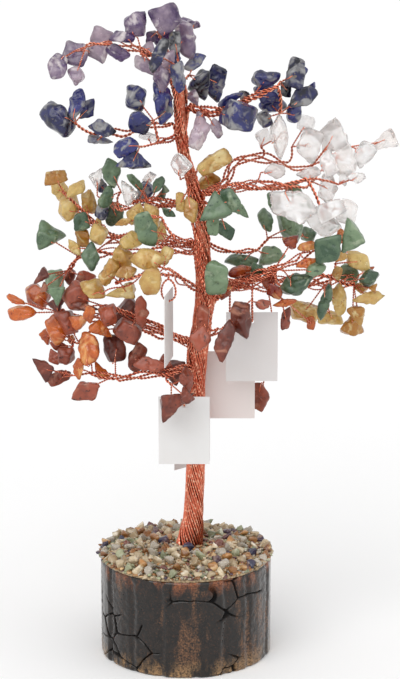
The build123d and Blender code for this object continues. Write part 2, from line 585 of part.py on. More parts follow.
def gravel_bit(x, y, dice):
    """One rough bit of stone, its lowest corner sunk into the glue below it."""
    points = np.array([[dice.gauss(0, 1) for axis in range(3)] for corner in range(GRAVEL_CORNERS)])
    points /= np.linalg.norm(points, axis=1)[:, None]
    points -= (points.max(axis=0) + points.min(axis=0)) / 2
    points *= [GRAVEL_SIZE * dice.uniform(GRAVEL_SMALLEST, 1) for axis in range(3)] / np.ptp(points, axis=0)
    rest = BASE_HEIGHT + bed_height(math.hypot(x, y)) - GRAVEL_SINK
    return closed_solid(hull_faces(points + np.array((x, y, rest - points[:, 2].min()))))


def gravel(dice):
    """Bits of stone in rings over the bed, from the rim inwards, clear of the trunk."""
    bits = []
    handful = []
    pitch = GRAVEL_SIZE + GRAVEL_GAP
    trunk_room = TRUNK_FOOT[1] + GRAVEL_SIZE / 2 + GRAVEL_GAP
    radius = BASE_DIAMETER / 2 - GRAVEL_MARGIN
    while radius > 0:
        places = max(1, int(2 * math.pi * radius / pitch))
        start = dice.uniform(0, 360)
        for place in range(places):
            angle = math.radians(start + 360 * place / places)
            x, y = radius * math.cos(angle), radius * math.sin(angle)
            if math.hypot(x - TRUNK_FOOT[0], y) > trunk_room:
                handful = handful or dice.sample(GRAVEL_MIX, len(GRAVEL_MIX))
                bits.append((handful.pop(), gravel_bit(x, y, dice)))
        radius -= pitch
    return bits


def tag_loop(hang, drop, normal):
    """A tag's wire: a neck twisted onto the limb and the closed loop at its lower end."""
    bottom = hang - drop * UPRIGHT
    neck = prism(hang, bottom + LOOP_HEIGHT * UPRIGHT, NECK_RADIUS, LOOP_SIDES)
    path = []
    for share, rise in LOOP_SHAPE:
        path.append(bottom + share * LOOP_WIDTH * normal + rise * LOOP_HEIGHT * UPRIGHT)
    before = path[-1:] + path[:-1]
    after = path[1:] + path[:1]
    side = np.cross(normal, UPRIGHT)
    rings = []
    for last, middle, following in zip(before, path, after):
        tangent = unit(unit(middle - last) + unit(following - middle))
        rings.append(ring(middle, tangent, side, TAG_WIRE_RADIUS, LOOP_SIDES))
    return neck, rings


def card(hole_to_top):
    """A blank card about the wire that it hangs on, before it is turned and hung."""
    plate = Pos(0, 0, hole_to_top - CARD_HEIGHT / 2) * Box(CARD_WIDTH, CARD_THICKNESS, CARD_HEIGHT)
    hole = Cylinder(CARD_HOLE_DIAMETER / 2, 2 * CARD_THICKNESS, rotation=(90, 0, 0))
    return plate - Pos(0, 0, -CARD_SAG) * hole


def card_sweep(hole_to_top, turn):
    """Corners of the space that a card passes through as it swings, about its wire."""
    corners = []
    for x in (-CARD_WIDTH / 2, CARD_WIDTH / 2):
        for y in (-CARD_THICKNESS, CARD_THICKNESS):
            for z in (hole_to_top, hole_to_top - CARD_HEIGHT):
                corners.append((x, y, z))
    rest = np.array(corners)
    swings = [turned(rest, BACKWARD, angle) for angle in (-CARD_SWING, 0, CARD_SWING)]
    return turned(np.vstack(swings), UPRIGHT, turn)


RIGHTWARD, BACKWARD, UPRIGHT = np.eye(3)
FROM_BELOW = (Align.CENTER, Align.CENTER, Align.MIN)
WOOD_RADIUS = BASE_DIAMETER / 2 - BARK_THICKNESS
BED_RADIUS = BASE_DIAMETER / 2 - BED_INSET
SOCKET_RADIUS = TRUNK_FOOT[1] + SOCKET_FIT
STEM_RADIUS = bundle_radius(WIRES_PER_CHIP)
NECK_RADIUS = bundle_radius(NECK_WIRES, TAG_WIRE_DIAMETER)
CARD_SAG = CARD_HOLE_DIAMETER / 2 - TAG_WIRE_RADIUS - LOOP_FIT
DEPTH_COUNT = int(DEPTH_LIMIT / DEPTH_STEP)
DEPTH_SHIFTS = [DEPTH_STEP * step for step in range(-DEPTH_COUNT, DEPTH_COUNT + 1)]
DEPTH_SHIFTS.sort(key=lambda shift: shift if shift >= 0 else -2 * shift)

bark_dice, gravel_dice, chip_dice = (random.Random(SEED + kind) for kind in range(3))
thicket = Thicket()
nodes = {
    "wood_core": [wood_core()],
    "bark_shell": [bark_shell(bark_dice)],
    "glue_bed": [glue_bed()],
}
for kind, bit in gravel(gravel_dice):
    nodes.setdefault("gravel_" + kind, []).append(bit)

# Trunk: the strands end where their boughs leave, the spare ones at the tip
slots, spare_slots = strand_slots()
nodes["trunk_core"] = [trunk_core()]
nodes["trunk_strands"] = [strand(slots[branch.name], branch.root) for branch in BRANCHES]
nodes["trunk_strands"] += [strand(slot, 0) for slot in spare_slots]
trunk_ups = [-TRUNK_HEIGHT] + [bend[1] for bend in reversed(TRUNK_BENDS)]
trunk_path = [trunk_at(up)[0] for up in trunk_ups]
trunk_rings = tube_rings(trunk_path, [trunk_at(up)[1] for up in trunk_ups], 2 * LIMB_SIDES)
for lower, upper in zip(trunk_rings, trunk_rings[1:]):
    thicket.add(lump(np.array(lower + upper)), "trunk")

# Limbs and twigs of all boughs
limb_paths = {}
for branch in BRANCHES:
    wire_node = nodes.setdefault(branch.name + "_wire", [])
    path = [strand_at(slots[branch.name], branch.root)] + [sight(*bend) for bend in branch.limb]
    limb_paths[branch.name] = path
    leaving = [0] * len(path)
    for spray in branch.sprays:
        leaving[nearest_bend(path, sight(*spray.fork))] += WIRES_PER_CHIP * len(spray.chips)
    radii = [bundle_radius(max(LIMB_TIP_WIRES, sum(leaving[bend:]))) for bend in range(len(path))]
    rings = tube_rings(path, radii, LIMB_SIDES)
    wire_node.append(closed_solid(skin(rings)))
    for lower, upper in zip(rings, rings[1:]):
        thicket.add(lump(np.array(lower + upper)), branch.name)
    for spray in branch.sprays:
        fork = sight(*spray.fork)
        start = path[nearest_bend(path, fork)]
        if np.linalg.norm(fork - start) > WIRE_DIAMETER:
            twig = prism(start, fork, bundle_radius(WIRES_PER_CHIP * len(spray.chips)), TWIG_SIDES)
            wire_node.append(prism_solid(twig))
            thicket.add(lump(twig, unit(fork - start)), branch.name)

# Tags
hole_to_top = CARD_HOLE_DROP - CARD_SAG
for tag in TAGS:
    hang = nearest_on(limb_paths[tag.branch], sight(*tag.hang))
    normal = turned(BACKWARD[None], UPRIGHT, tag.turn)[0]
    neck, rings = tag_loop(hang, tag.drop, normal)
    bottom = hang - tag.drop * UPRIGHT
    nodes["loop_" + tag.name] = [prism_solid(neck), closed_solid(skin(rings, closed=True))]
    nodes["card_" + tag.name] = [Pos(*bottom) * Rot(0, 0, tag.turn) * card(hole_to_top)]
    thicket.add(lump(neck), "tag " + tag.name)
    thicket.add(lump(np.array(sum(rings, []))), "tag " + tag.name)
    thicket.add(lump(card_sweep(hole_to_top, tag.turn) + bottom), "tag " + tag.name)
    print("card", tag.name, "hangs at", [round(float(value), 3) for value in bottom])

# Chips and their stems
for branch in BRANCHES:
    for spray in branch.sprays:
        fork = sight(*spray.fork)
        for chip in spray.chips:
            stone, stem = seat_chip(thicket, branch, chip, fork, spray.fork[2], chip_dice)
            thicket.add(stone, branch.name + " chips")
            thicket.add(stem, branch.name)
            side = "left" if chip[0] < trunk_at(min(chip[1], 0))[0][0] else "right"
            chip_node = nodes.setdefault(spray.stone + "_chips_" + side, [])
            chip_node.append(closed_solid(hull_faces(stone.points)))
            nodes[branch.name + "_wire"].append(prism_solid(stem.points))

os.makedirs("parts", exist_ok=True)
for name, solids in nodes.items():
    shape = solids[0] if len(solids) == 1 else Compound(solids)
    export_step(shape, "parts/" + name + ".step")
print(len(nodes), "nodes,", sum(len(solids) for solids in nodes.values()), "solids")
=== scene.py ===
# %% [markdown]
# # Dressing a gemstone tree
#
# The object is a table ornament: copper wire twisted into a small tree, drilled chips of seven
# gemstones threaded on its twigs, and a slice of log, topped with glued gravel, as its pot.
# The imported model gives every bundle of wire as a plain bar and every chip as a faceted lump.
# Here each bar becomes the wires that it stands for and each lump becomes a tumbled stone,
# where the frame has it.

# %% Load the frame
import math
import random

import bmesh
import bpy
import numpy as np
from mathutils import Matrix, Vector, noise
from mathutils.bvhtree import BVHTree


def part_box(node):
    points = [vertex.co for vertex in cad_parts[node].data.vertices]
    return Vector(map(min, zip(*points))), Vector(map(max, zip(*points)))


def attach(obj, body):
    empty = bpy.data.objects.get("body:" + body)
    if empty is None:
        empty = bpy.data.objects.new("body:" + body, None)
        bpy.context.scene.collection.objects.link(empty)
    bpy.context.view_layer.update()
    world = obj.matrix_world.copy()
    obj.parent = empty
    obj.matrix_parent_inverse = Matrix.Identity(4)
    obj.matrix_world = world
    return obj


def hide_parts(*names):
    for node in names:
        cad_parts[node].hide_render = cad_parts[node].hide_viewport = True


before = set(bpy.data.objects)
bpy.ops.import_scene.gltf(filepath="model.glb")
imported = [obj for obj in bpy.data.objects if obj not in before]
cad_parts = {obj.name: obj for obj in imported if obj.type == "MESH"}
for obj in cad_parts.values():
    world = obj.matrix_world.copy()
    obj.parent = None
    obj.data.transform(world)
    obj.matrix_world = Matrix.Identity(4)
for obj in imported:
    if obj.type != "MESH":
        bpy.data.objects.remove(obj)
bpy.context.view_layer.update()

MM = 0.001
dice = random.Random(20)
scene = bpy.context.scene

# %% [markdown]
# ## Reading the solids back
#
# Each CAD node is one mesh that may hold many solids.  Welding its corners and walking from face
# to face over shared edges takes it apart again.  Flat neighbours are dissolved first, so that
# the end of a bar is one even polygon, which tells a bar's ends from its sides.  The places of
# the bars could be typed in here as well, but read from the frame they follow every change of it.

# %% Take a node apart into its solids
WELD = 0.002 * MM
FLAT = math.radians(1)


def solids_of(name):
    """The solids of a CAD node: corners, and faces as tuples of corner numbers."""
    work = bmesh.new()
    work.from_mesh(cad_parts[name].data)
    bmesh.ops.remove_doubles(work, verts=work.verts, dist=WELD)
    bmesh.ops.dissolve_limit(work, angle_limit=FLAT, verts=[], edges=work.edges)
    work.faces.ensure_lookup_table()
    known = set()
    solids = []
    for first in work.faces:
        if first.index in known:
            continue
        known.add(first.index)
        members = [first]
        for face in members:
            for other in (other for edge in face.edges for other in edge.link_faces):
                if other.index not in known:
                    known.add(other.index)
                    members.append(other)
        corners = sorted({vert.index: vert for face in members for vert in face.verts}.items())
        place = {index: number for number, (index, vert) in enumerate(corners)}
        faces = [tuple(place[vert.index] for vert in face.verts) for face in members]
        solids.append((np.array([vert.co for index, vert in corners]), faces))
    work.free()
    return solids


wire_nodes = sorted(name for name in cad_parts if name.endswith("_wire"))
chip_nodes = sorted(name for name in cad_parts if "_chips_" in name)
gravel_nodes = sorted(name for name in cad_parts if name.startswith("gravel_"))
chips = {name: solids_of(name) for name in chip_nodes}
print("chips:", sum(map(len, chips.values())))

# %% Find the middle line of a bar
STEM, TWIG, LIMB = 3, 5, 6


def bar_line(points, faces):
    """Middle line and radii of a bar, ring after ring from end to end, and its number of sides."""
    sides = {2 * STEM: STEM, 2 * TWIG: TWIG}.get(len(points), LIMB)

    def unevenness(face):
        reaches = np.linalg.norm(points[list(face)] - points[list(face)].mean(axis=0), axis=1)
        return reaches.std() / reaches.mean()

    near = {number: set() for number in range(len(points))}
    for face in faces:
        for one, two in zip(face, face[1:] + face[:1]):
            near[one].add(two)
            near[two].add(one)
    level = set(min((face for face in faces if len(face) == sides), key=unevenness))
    passed = set(level)
    middles, radii = [], []
    while level:
        ring = points[sorted(level)]
        middles.append(ring.mean(axis=0))
        radii.append(np.linalg.norm(ring - middles[-1], axis=1).mean())
        level = {other for one in level for other in near[one]} - passed
        passed |= level
    return np.array(middles), np.array(radii), sides


bars = {name: [bar_line(*solid) for solid in solids_of(name)] for name in wire_nodes}
print("bars:", sum(map(len, bars.values())))

# %% [markdown]
# ## Shader helpers
#
# Colours are written as they look on a screen and turned into the linear values that shaders
# take.  Nodes could be placed and linked by hand, but with these few functions a material reads
# like a recipe.  Effects that several materials share are node groups.

# %% Colours and nodes


def screen(red, green, blue):
    """A colour as it looks on a screen, 0 to 255, in linear light."""
    shares = [value / 255 for value in (red, green, blue)]
    return tuple(s / 12.92 if s < 0.04 else ((s + 0.055) / 1.055) ** 2.4 for s in shares) + (1,)


def connect(tree, node, inputs):
    """Sets a node's inputs, by name or number: values are set and sockets are linked."""
    for key, value in inputs.items():
        if isinstance(value, bpy.types.NodeSocket):
            tree.links.new(value, node.inputs[key])
        else:
            node.inputs[key].default_value = value


def add_node(tree, kind, inputs=None, **settings):
    node = tree.nodes.new("ShaderNode" + kind)
    for key, value in settings.items():
        setattr(node, key, value)
    connect(tree, node, inputs or {})
    return node


print("mid grey in linear light:", round(screen(128, 128, 128)[0], 3))

# %% Masks and noises


def mix(tree, share, one, two):
    """A colour between two others; each of the three is a socket or a value."""
    node = add_node(tree, "Mix", data_type="RGBA")
    connect(tree, node, {0: share, 6: one, 7: two})
    return node.outputs[2]


def math_of(tree, operation, one, two):
    return add_node(tree, "Math", {0: one, 1: two}, operation=operation).outputs[0]


def ramp(tree, value, low, high, start=0.0, end=1.0):
    """A mask that goes from start to end while a value goes from low to high."""
    node = add_node(tree, "MapRange", {
        "Value": value, "From Min": low, "From Max": high, "To Min": start, "To Max": end}, clamp=True)
    return node.outputs["Result"]


def noise_of(tree, spot, scale, detail=3, **more):
    inputs = {"Vector": spot, "Scale": scale, "Detail": detail, **more}
    return add_node(tree, "TexNoise", inputs).outputs["Fac"]


def place_of(tree):
    return add_node(tree, "TexCoord").outputs["Object"]


def mask_of(tree, name):
    """A number that the mesh carries on its corners."""
    return add_node(tree, "Attribute", attribute_name=name).outputs["Fac"]


# %% Groups and materials


def new_group(name, inputs, outputs):
    """An empty node group with named sockets: its tree, its inputs and its output node."""
    tree = bpy.data.node_groups.new(name, "ShaderNodeTree")
    for key, kind in inputs:
        tree.interface.new_socket(key, in_out="INPUT", socket_type="NodeSocket" + kind)
    for key, kind in outputs:
        tree.interface.new_socket(key, in_out="OUTPUT", socket_type="NodeSocket" + kind)
    return tree, tree.nodes.new("NodeGroupInput").outputs, tree.nodes.new("NodeGroupOutput")


def use_group(tree, group, inputs):
    """Places a group in a material and gives its outputs."""
    node = tree.nodes.new("ShaderNodeGroup")
    node.node_tree = group
    connect(tree, node, inputs)
    return node.outputs


def new_material(name, **values):
    """A material, its node tree and its shader with some constant values."""
    material = bpy.data.materials.new(name)
    material.use_nodes = True
    shader = material.node_tree.nodes["Principled BSDF"]
    for key, value in values.items():
        shader.inputs[key.replace("_", " ")].default_value = value
    return material, material.node_tree, shader


def add_bump(tree, shader, height, strength, distance):
    bump = add_node(tree, "Bump", {"Height": height, "Strength": strength, "Distance": distance})
    tree.links.new(bump.outputs["Normal"], shader.inputs["Normal"])


# %% [markdown]
# ## Stone
#
# A tumbled chip shows its colour in cloudy zones, crossed by paler bands and darker flecks.
# Pictures of stone could be wrapped round the chips, but noise in space has no seams and cuts
# through a chip as the figure of real stone does.  No two chips of a sort are alike, so each
# vertex carries the "tint" of its chip: a random number that shifts the figure and the shade
# from chip to chip.

# %% The figure of polished stone
CLOUDS, VEINS, PITS = 170, 120, 600
TINT_SHIFT = (3, 5, 7)
CLOUD_SPAN = (0.95, 1.95)
BAND_BLUR = 0.12
FLECK_BLUR, FLECK_STRENGTH = 0.09, 0.85
stone_figure, given, result = new_group(
    "stone_figure",
    [("Deep", "Color"), ("Pale", "Color"), ("Band", "Color"), ("Fleck", "Color"),
     ("Band Edge", "Float"), ("Fleck Edge", "Float"), ("Grain", "Float"), ("Dull", "Float")],
    [("Color", "Color"), ("Roughness", "Float"), ("Height", "Float")])
tint = add_node(stone_figure, "Attribute", attribute_name="tint").outputs
shift = add_node(stone_figure, "VectorMath", {0: tint["Color"], 1: TINT_SHIFT},
                 operation="MULTIPLY").outputs[0]
spot = add_node(stone_figure, "VectorMath", {0: place_of(stone_figure), 1: shift},
                operation="ADD").outputs[0]
cloud = noise_of(stone_figure, spot, CLOUDS, 4, Roughness=0.6)
shade = math_of(stone_figure, "ADD", math_of(stone_figure, "MULTIPLY", cloud, 2), tint["Fac"])
colour = mix(stone_figure, ramp(stone_figure, shade, *CLOUD_SPAN), given["Deep"], given["Pale"])
veins = noise_of(stone_figure, spot, VEINS, 3, Distortion=1.2)
band = math_of(stone_figure, "SUBTRACT", veins, given["Band Edge"])
colour = mix(stone_figure, ramp(stone_figure, band, 0, BAND_BLUR), colour, given["Band"])
crumbs = noise_of(stone_figure, spot, given["Grain"], 3, Roughness=0.6)
fleck = math_of(stone_figure, "SUBTRACT", crumbs, given["Fleck Edge"])
fleck = ramp(stone_figure, fleck, 0, FLECK_BLUR, 0, FLECK_STRENGTH)
colour = mix(stone_figure, fleck, colour, given["Fleck"])
gloss = math_of(stone_figure, "ADD", ramp(stone_figure, cloud, 0.25, 0.75, 0, 0.2), given["Dull"])
pits = noise_of(stone_figure, spot, PITS, 2)
connect(stone_figure, result, {"Color": colour, "Roughness": gloss, "Height": pits})
print("nodes in the stone figure:", len(stone_figure.nodes))

# %% Stones of the chips and the gravel
STONE_BUMP, STONE_PIT = 0.15, 0.2 * MM


def stone_material(name, deep, pale, band, fleck, band_edge=0.58, fleck_edge=0.62,
                   grain=420, dull=0.1, clear=0.0):
    """A polished stone; clear is how much of the light goes through it."""
    material, tree, shader = new_material(name, IOR=1.54, Transmission_Weight=clear)
    figure = use_group(tree, stone_figure, {
        "Deep": screen(*deep), "Pale": screen(*pale), "Band": screen(*band), "Fleck": screen(*fleck),
        "Band Edge": band_edge, "Fleck Edge": fleck_edge, "Grain": grain, "Dull": dull})
    connect(tree, shader, {"Base Color": figure["Color"], "Roughness": figure["Roughness"]})
    add_bump(tree, shader, figure["Height"], STONE_BUMP, STONE_PIT)
    return material


STONES = {
    "amethyst": dict(deep=(74, 44, 100), pale=(198, 178, 190), band=(232, 222, 222),
                     fleck=(70, 38, 98), band_edge=0.55, grain=300, clear=0.45),
    "lapis": dict(deep=(6, 6, 24), pale=(48, 52, 120), band=(142, 141, 142),
                  fleck=(118, 106, 90), band_edge=0.5, fleck_edge=0.61, grain=460, dull=0.08),
    "quartz": dict(deep=(240, 233, 229), pale=(252, 250, 249), band=(255, 255, 255),
                   fleck=(226, 212, 205), band_edge=0.52, grain=300, dull=0.03, clear=0.72),
    "aventurine": dict(deep=(52, 78, 56), pale=(114, 136, 104), band=(146, 160, 132),
                       fleck=(44, 66, 50), band_edge=0.59, fleck_edge=0.6, grain=520, dull=0.2),
    "citrine": dict(deep=(184, 124, 44), pale=(230, 200, 124), band=(240, 220, 160),
                    fleck=(152, 98, 40), band_edge=0.57, clear=0.35),
    "carnelian": dict(deep=(128, 30, 12), pale=(226, 118, 46), band=(242, 176, 106),
                      fleck=(112, 28, 14), band_edge=0.55, clear=0.35),
    "jasper": dict(deep=(84, 31, 19), pale=(156, 74, 50), band=(160, 104, 82),
                   fleck=(62, 24, 18), fleck_edge=0.6, dull=0.26),
    "gravel_cream": dict(deep=(146, 122, 88), pale=(208, 190, 158), band=(232, 222, 202),
                         fleck=(118, 92, 64)),
    "gravel_amber": dict(deep=(112, 68, 34), pale=(184, 132, 78), band=(212, 178, 130),
                         fleck=(88, 50, 28)),
    "gravel_green": dict(deep=(98, 104, 76), pale=(166, 168, 134), band=(194, 194, 168),
                         fleck=(72, 80, 60)),
    "gravel_dark": dict(deep=(44, 44, 70), pale=(118, 70, 58), band=(144, 120, 108),
                        fleck=(36, 30, 30)),
    "gravel_clear": dict(deep=(166, 154, 136), pale=(216, 206, 190), band=(240, 234, 224),
                         fleck=(146, 132, 114), clear=0.4),
}
stone_looks = {name: stone_material(name, **look) for name, look in STONES.items()}
print("stone materials:", len(stone_looks))

# %% [markdown]
# ## Tumbled chips
#
# A tumbled chip keeps the rough outline of the piece it was broken from, with its edges worn
# round.  A bevel could round the edges of the CAD lump, but it takes the same width off every
# edge.  Here each flat face of the lump gives a distance from the middle in every direction, and
# a soft blend of these distances is the same lump with worn edges: sharp corners wear most.

# %% Wear a faceted lump round
DENT_SCALE = 1.7
GROWTH_LIMIT = 1.12


def ball(subdivisions):
    """Directions and triangles of an even ball."""
    work = bmesh.new()
    bmesh.ops.create_icosphere(work, subdivisions=subdivisions, radius=1)
    directions = np.array([vert.co for vert in work.verts])
    triangles = np.array([[vert.index for vert in face.verts] for face in work.faces])
    work.free()
    return directions / np.linalg.norm(directions, axis=1)[:, None], triangles


class Worn:
    """A faceted lump with worn edges, as a distance from its middle in each direction."""

    def __init__(self, middle, normals, reaches, sharpness):
        self.middle = middle
        self.normals = normals
        self.reaches = reaches
        self.sharpness = sharpness
        self.scale = 1.0

    def reach(self, directions):
        near = np.maximum(directions @ self.normals.T / self.reaches, 0)
        return self.scale * (near ** self.sharpness).sum(axis=1) ** (-1 / self.sharpness)

    def surface(self, directions):
        return self.middle + directions * self.reach(directions)[:, None]

    def dented(self, directions, depth, seed):
        """The surface with shallow dents, as chips keep from the stone's own breaks."""
        points = self.surface(directions)
        size = np.ptp(points, axis=0).max()
        shift = Vector((seed, 2 * seed, 3 * seed))
        dents = np.array([noise.noise(Vector(way) * DENT_SCALE + shift) for way in directions])
        return points + directions * (depth * size * dents)[:, None]


bit_ways, bit_triangles = ball(3)


def worn_lump(points, faces, sharpness):
    """A CAD lump with worn edges, grown to the lump's own size again."""
    middle = points.mean(axis=0)
    normals, reaches = [], []
    for face in faces:
        a, b, c = points[list(face[:3])]
        normal = np.cross(b - a, c - a)
        normal /= np.linalg.norm(normal)
        reach = np.dot(normal, a - middle)
        normals.append(normal * np.sign(reach))
        reaches.append(abs(reach))
    stone = Worn(middle, np.array(normals), np.array(reaches), sharpness)
    spread = np.ptp(stone.surface(bit_ways), axis=0)
    growth = (np.ptp(points, axis=0) / spread).mean()
    stone.scale = float(np.clip(growth, 1, GROWTH_LIMIT))
    return stone


# %% Make a piece from points and faces


def add_piece(name, points, faces, material, replaced=(), attributes=None):
    """A smooth mesh in its place in the frame, riding on the tree."""
    mesh = bpy.data.meshes.new(name)
    mesh.from_pydata(np.asarray(points).tolist(), [], faces)
    for key, values in (attributes or {}).items():
        layer = mesh.attributes.new(key, "FLOAT", "POINT")
        layer.data.foreach_set("value", np.asarray(values, dtype=np.float32))
    mesh.polygons.foreach_set("use_smooth", [True] * len(mesh.polygons))
    mesh.materials.append(material)
    mesh.update()
    piece = bpy.data.objects.new(name, mesh)
    scene.collection.objects.link(piece)
    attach(piece, "tree")
    if replaced:
        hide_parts(*replaced)
    return piece


def add_stones(name, surfaces, triangles, slot, replaced=()):
    """One piece of many stones, each with its own tint."""
    count = len(surfaces[0])
    faces = np.vstack([triangles + number * count for number in range(len(surfaces))])
    tints = np.repeat([dice.random() for surface in surfaces], count)
    add_piece(name, np.vstack(surfaces), faces.tolist(), stone_looks[slot], replaced,
              {"tint": tints})


# %% Tumble the chips
CHIP_SHARPNESS = (6, 12)
CHIP_DENTS = 0.06
SEEDS = (0, 90)
chip_ways, chip_triangles = ball(4)
stones = []
for name in chip_nodes:
    worn = [worn_lump(*lump, dice.uniform(*CHIP_SHARPNESS)) for lump in chips[name]]
    surfaces = [stone.dented(chip_ways, CHIP_DENTS, dice.uniform(*SEEDS)) for stone in worn]
    add_stones(name + ".tumbled", surfaces, chip_triangles, name.split("_chips_")[0], [name])
    stones += worn
stone_middles = np.array([stone.middle for stone in stones])
print("tumbled chips:", len(stones))

# %% [markdown]
# ## Copper
#
# Craft wire is bare copper, browner where it has been handled.  Pale pink specks on it are painted
# highlights.  The creases between twisted wires get painted shade: the side of each wire that faces
# into its bundle is dark red-brown.  One plain metal would run the wires of a bundle together to the
# eye, so the wires carry their painted shade as a number on each corner, and the colour follows it.

# %% Copper wire
# The second scale is the size of the painted highlight specks.
HANDLED, HIGHLIGHT_SCALE = 70, 900
copper_wear_and_painted_light, given, result = new_group("copper_wear_and_painted_light", [], [("Color", "Color"), ("Roughness", "Float")])
painted_shade = mask_of(copper_wear_and_painted_light, "painted_shade")
spot = place_of(copper_wear_and_painted_light)
handled = noise_of(copper_wear_and_painted_light, spot, HANDLED, 4)
painted_highlight = noise_of(copper_wear_and_painted_light, spot, HIGHLIGHT_SCALE, 2)
colour = mix(copper_wear_and_painted_light, ramp(copper_wear_and_painted_light, handled, 0.35, 0.7), screen(232, 136, 106), screen(194, 92, 68))
# Painted highlight: pale pink specks where the fine noise peaks.
colour = mix(copper_wear_and_painted_light, ramp(copper_wear_and_painted_light, painted_highlight, 0.52, 0.72), colour, screen(255, 202, 172))
# Painted shade: dark red-brown on the side of each wire that faces into its bundle.
colour = mix(copper_wear_and_painted_light, painted_shade, colour, screen(84, 22, 14))
gloss = ramp(copper_wear_and_painted_light, handled, 0.3, 0.7, 0.2, 0.36)
connect(copper_wear_and_painted_light, result, {"Color": colour, "Roughness": gloss})

copper, tree, shader = new_material("copper", Metallic=1.0)
wear_and_light = use_group(tree, copper_wear_and_painted_light, {})
connect(tree, shader, {"Base Color": wear_and_light["Color"], "Roughness": wear_and_light["Roughness"]})
print("nodes in the copper's age:", len(copper_wear_and_painted_light.nodes))

# %% [markdown]
# ## Twisted wire
#
# A bough is made by threading a chip on a wire, folding the wire and twisting its two ends
# together.  The stems of a spray are twisted into one strand, the strands of a bough run side by
# side as its limb, and all of them go down the trunk.  So each bar of the frame is drawn as the
# wires or strands that wind round its middle line.  Curves with a round bevel could draw them
# too, but only a mesh carries the painted shade on its corners.

# %% Lines
PACKING = 0.75
stem_radius = np.mean([bar[1].mean() for name in wire_nodes for bar in bars[name] if bar[2] == STEM])
WIRE = stem_radius * math.sqrt(PACKING / 2)
print("wire, mm:", round(2 * WIRE / MM, 3))


def smooth_line(points, step):
    """Even points on a smooth line through some bends."""
    points = np.asarray(points)
    ends = np.vstack([2 * points[0] - points[1], points, 2 * points[-1] - points[-2]])
    line = []
    for a, b, c, d in zip(ends, ends[1:], ends[2:], ends[3:]):
        count = max(2, math.ceil(np.linalg.norm(c - b) / step))
        for share in np.arange(count) / count:
            line.append(0.5 * (2 * b + (c - a) * share + (2 * a - 5 * b + 4 * c - d) * share ** 2
                               + (3 * b - a - 3 * c + d) * share ** 3))
    return np.array(line + [points[-1]])


def travel_along(line):
    return np.concatenate([[0], np.cumsum(np.linalg.norm(np.diff(line, axis=0), axis=1))])


def line_frames(line):
    """Two cross directions at each point of a line, turning as little as they can."""
    tangents = np.gradient(line, axis=0)
    tangents /= np.linalg.norm(tangents, axis=1)[:, None]
    cross = np.eye(3)[np.argmin(np.abs(tangents[0]))]
    firsts = []
    for tangent in tangents:
        cross = cross - np.dot(cross, tangent) * tangent
        cross = cross / np.linalg.norm(cross)
        firsts.append(cross)
    firsts = np.array(firsts)
    return firsts, np.cross(tangents, firsts)


# %% The wires round a line
WIRE_SIDES = 6
# Painted shade: base levels of darkening for open wires, the trunk's strands and the trunk's core; the
# inward side of each wire is painted darker still.
OPEN_PAINTED_SHADE, TRUNK_PAINTED_SHADE, CORE_PAINTED_SHADE = 0.12, 0.5, 0.8
FOLLOW_STEP = 0.4 * MM


class Coil:
    """A growing mesh of wires."""

    def __init__(self):
        self.points = []
        self.faces = []
        self.painted_shades = []
        self.size = 0

    def sweep(self, middle, first, second, wire, inward, painted_shade_level=OPEN_PAINTED_SHADE):
        """One wire along a line with cross directions; its radius may change on the way, and painted
        shade darkens the side that looks inward."""
        turns = 2 * math.pi * np.arange(WIRE_SIDES) / WIRE_SIDES
        ways = np.stack([math.cos(turn) * first + math.sin(turn) * second for turn in turns], axis=1)
        wire = np.broadcast_to(wire, len(middle))[:, None, None]
        grid = self.size + np.arange(len(middle) * WIRE_SIDES).reshape(len(middle), WIRE_SIDES)
        beside = np.roll(grid, -1, axis=1)
        quads = np.stack([grid[:-1], beside[:-1], beside[1:], grid[1:]], axis=-1).reshape(-1, 4)
        self.points.append((middle[:, None] + wire * ways).reshape(-1, 3))
        self.faces += quads.tolist() + [grid[0, ::-1].tolist(), grid[-1].tolist()]
        # Painted shade on each corner: the base level plus how far the corner faces inward.
        self.painted_shades.append(np.clip(painted_shade_level + (ways * inward[:, None]).sum(axis=2), 0, 1).reshape(-1))
        self.size += grid.size

    def wind(self, line, rounds, count, lay, wire, inward=None, painted_shade_level=OPEN_PAINTED_SHADE):
        """Wires round a line: rounds is how far from it they run, lay is the length of a turn.
        Their painted shade falls on the side towards the line, unless another way inward is given."""
        first, second = line_frames(line)
        start = dice.uniform(0, 2 * math.pi)
        rounds = np.broadcast_to(rounds, len(line))[:, None]
        laid = np.cumsum(np.diff(travel_along(line), prepend=0) / lay)
        for number in range(count):
            turn = start + 2 * math.pi * (number / count + laid)[:, None]
            around = np.cos(turn) * first + np.sin(turn) * second
            towards = -around if inward is None else inward
            self.sweep(line + rounds * around, first, second, wire, towards, painted_shade_level)

    def follow(self, points, wire):
        """One wire without painted shade along a smooth line through some points."""
        line = smooth_line(points, FOLLOW_STEP)
        self.sweep(line, *line_frames(line), wire, np.zeros_like(line), 0)

    def add(self, name, replaced):
        add_piece(name, np.vstack(self.points), self.faces, copper, replaced,
                  {"painted_shade": np.concatenate(self.painted_shades)})


# %% [markdown]
# ## Trunk
#
# The strands of the frame's trunk run from the foot up to the bough that each belongs to.  A bump
# could paint their twist on a plain trunk, but its outline would stay smooth.  So each strand is
# drawn as two wires, and its winding is read as an angle round the trunk's core.  Low down the
# wires lie flat and long; higher up, where the real trunk loosens, they are twisted in pairs.
# The core is a bundle too and shows between the strands, darkened all over with painted shade.

# %% Read the trunk
STRAND_SIDES = 4


def upright_rings(points, sides):
    """Rings of an upright bar, from its foot up."""
    return points[np.argsort(points[:, 2])].reshape(-1, sides, 3)


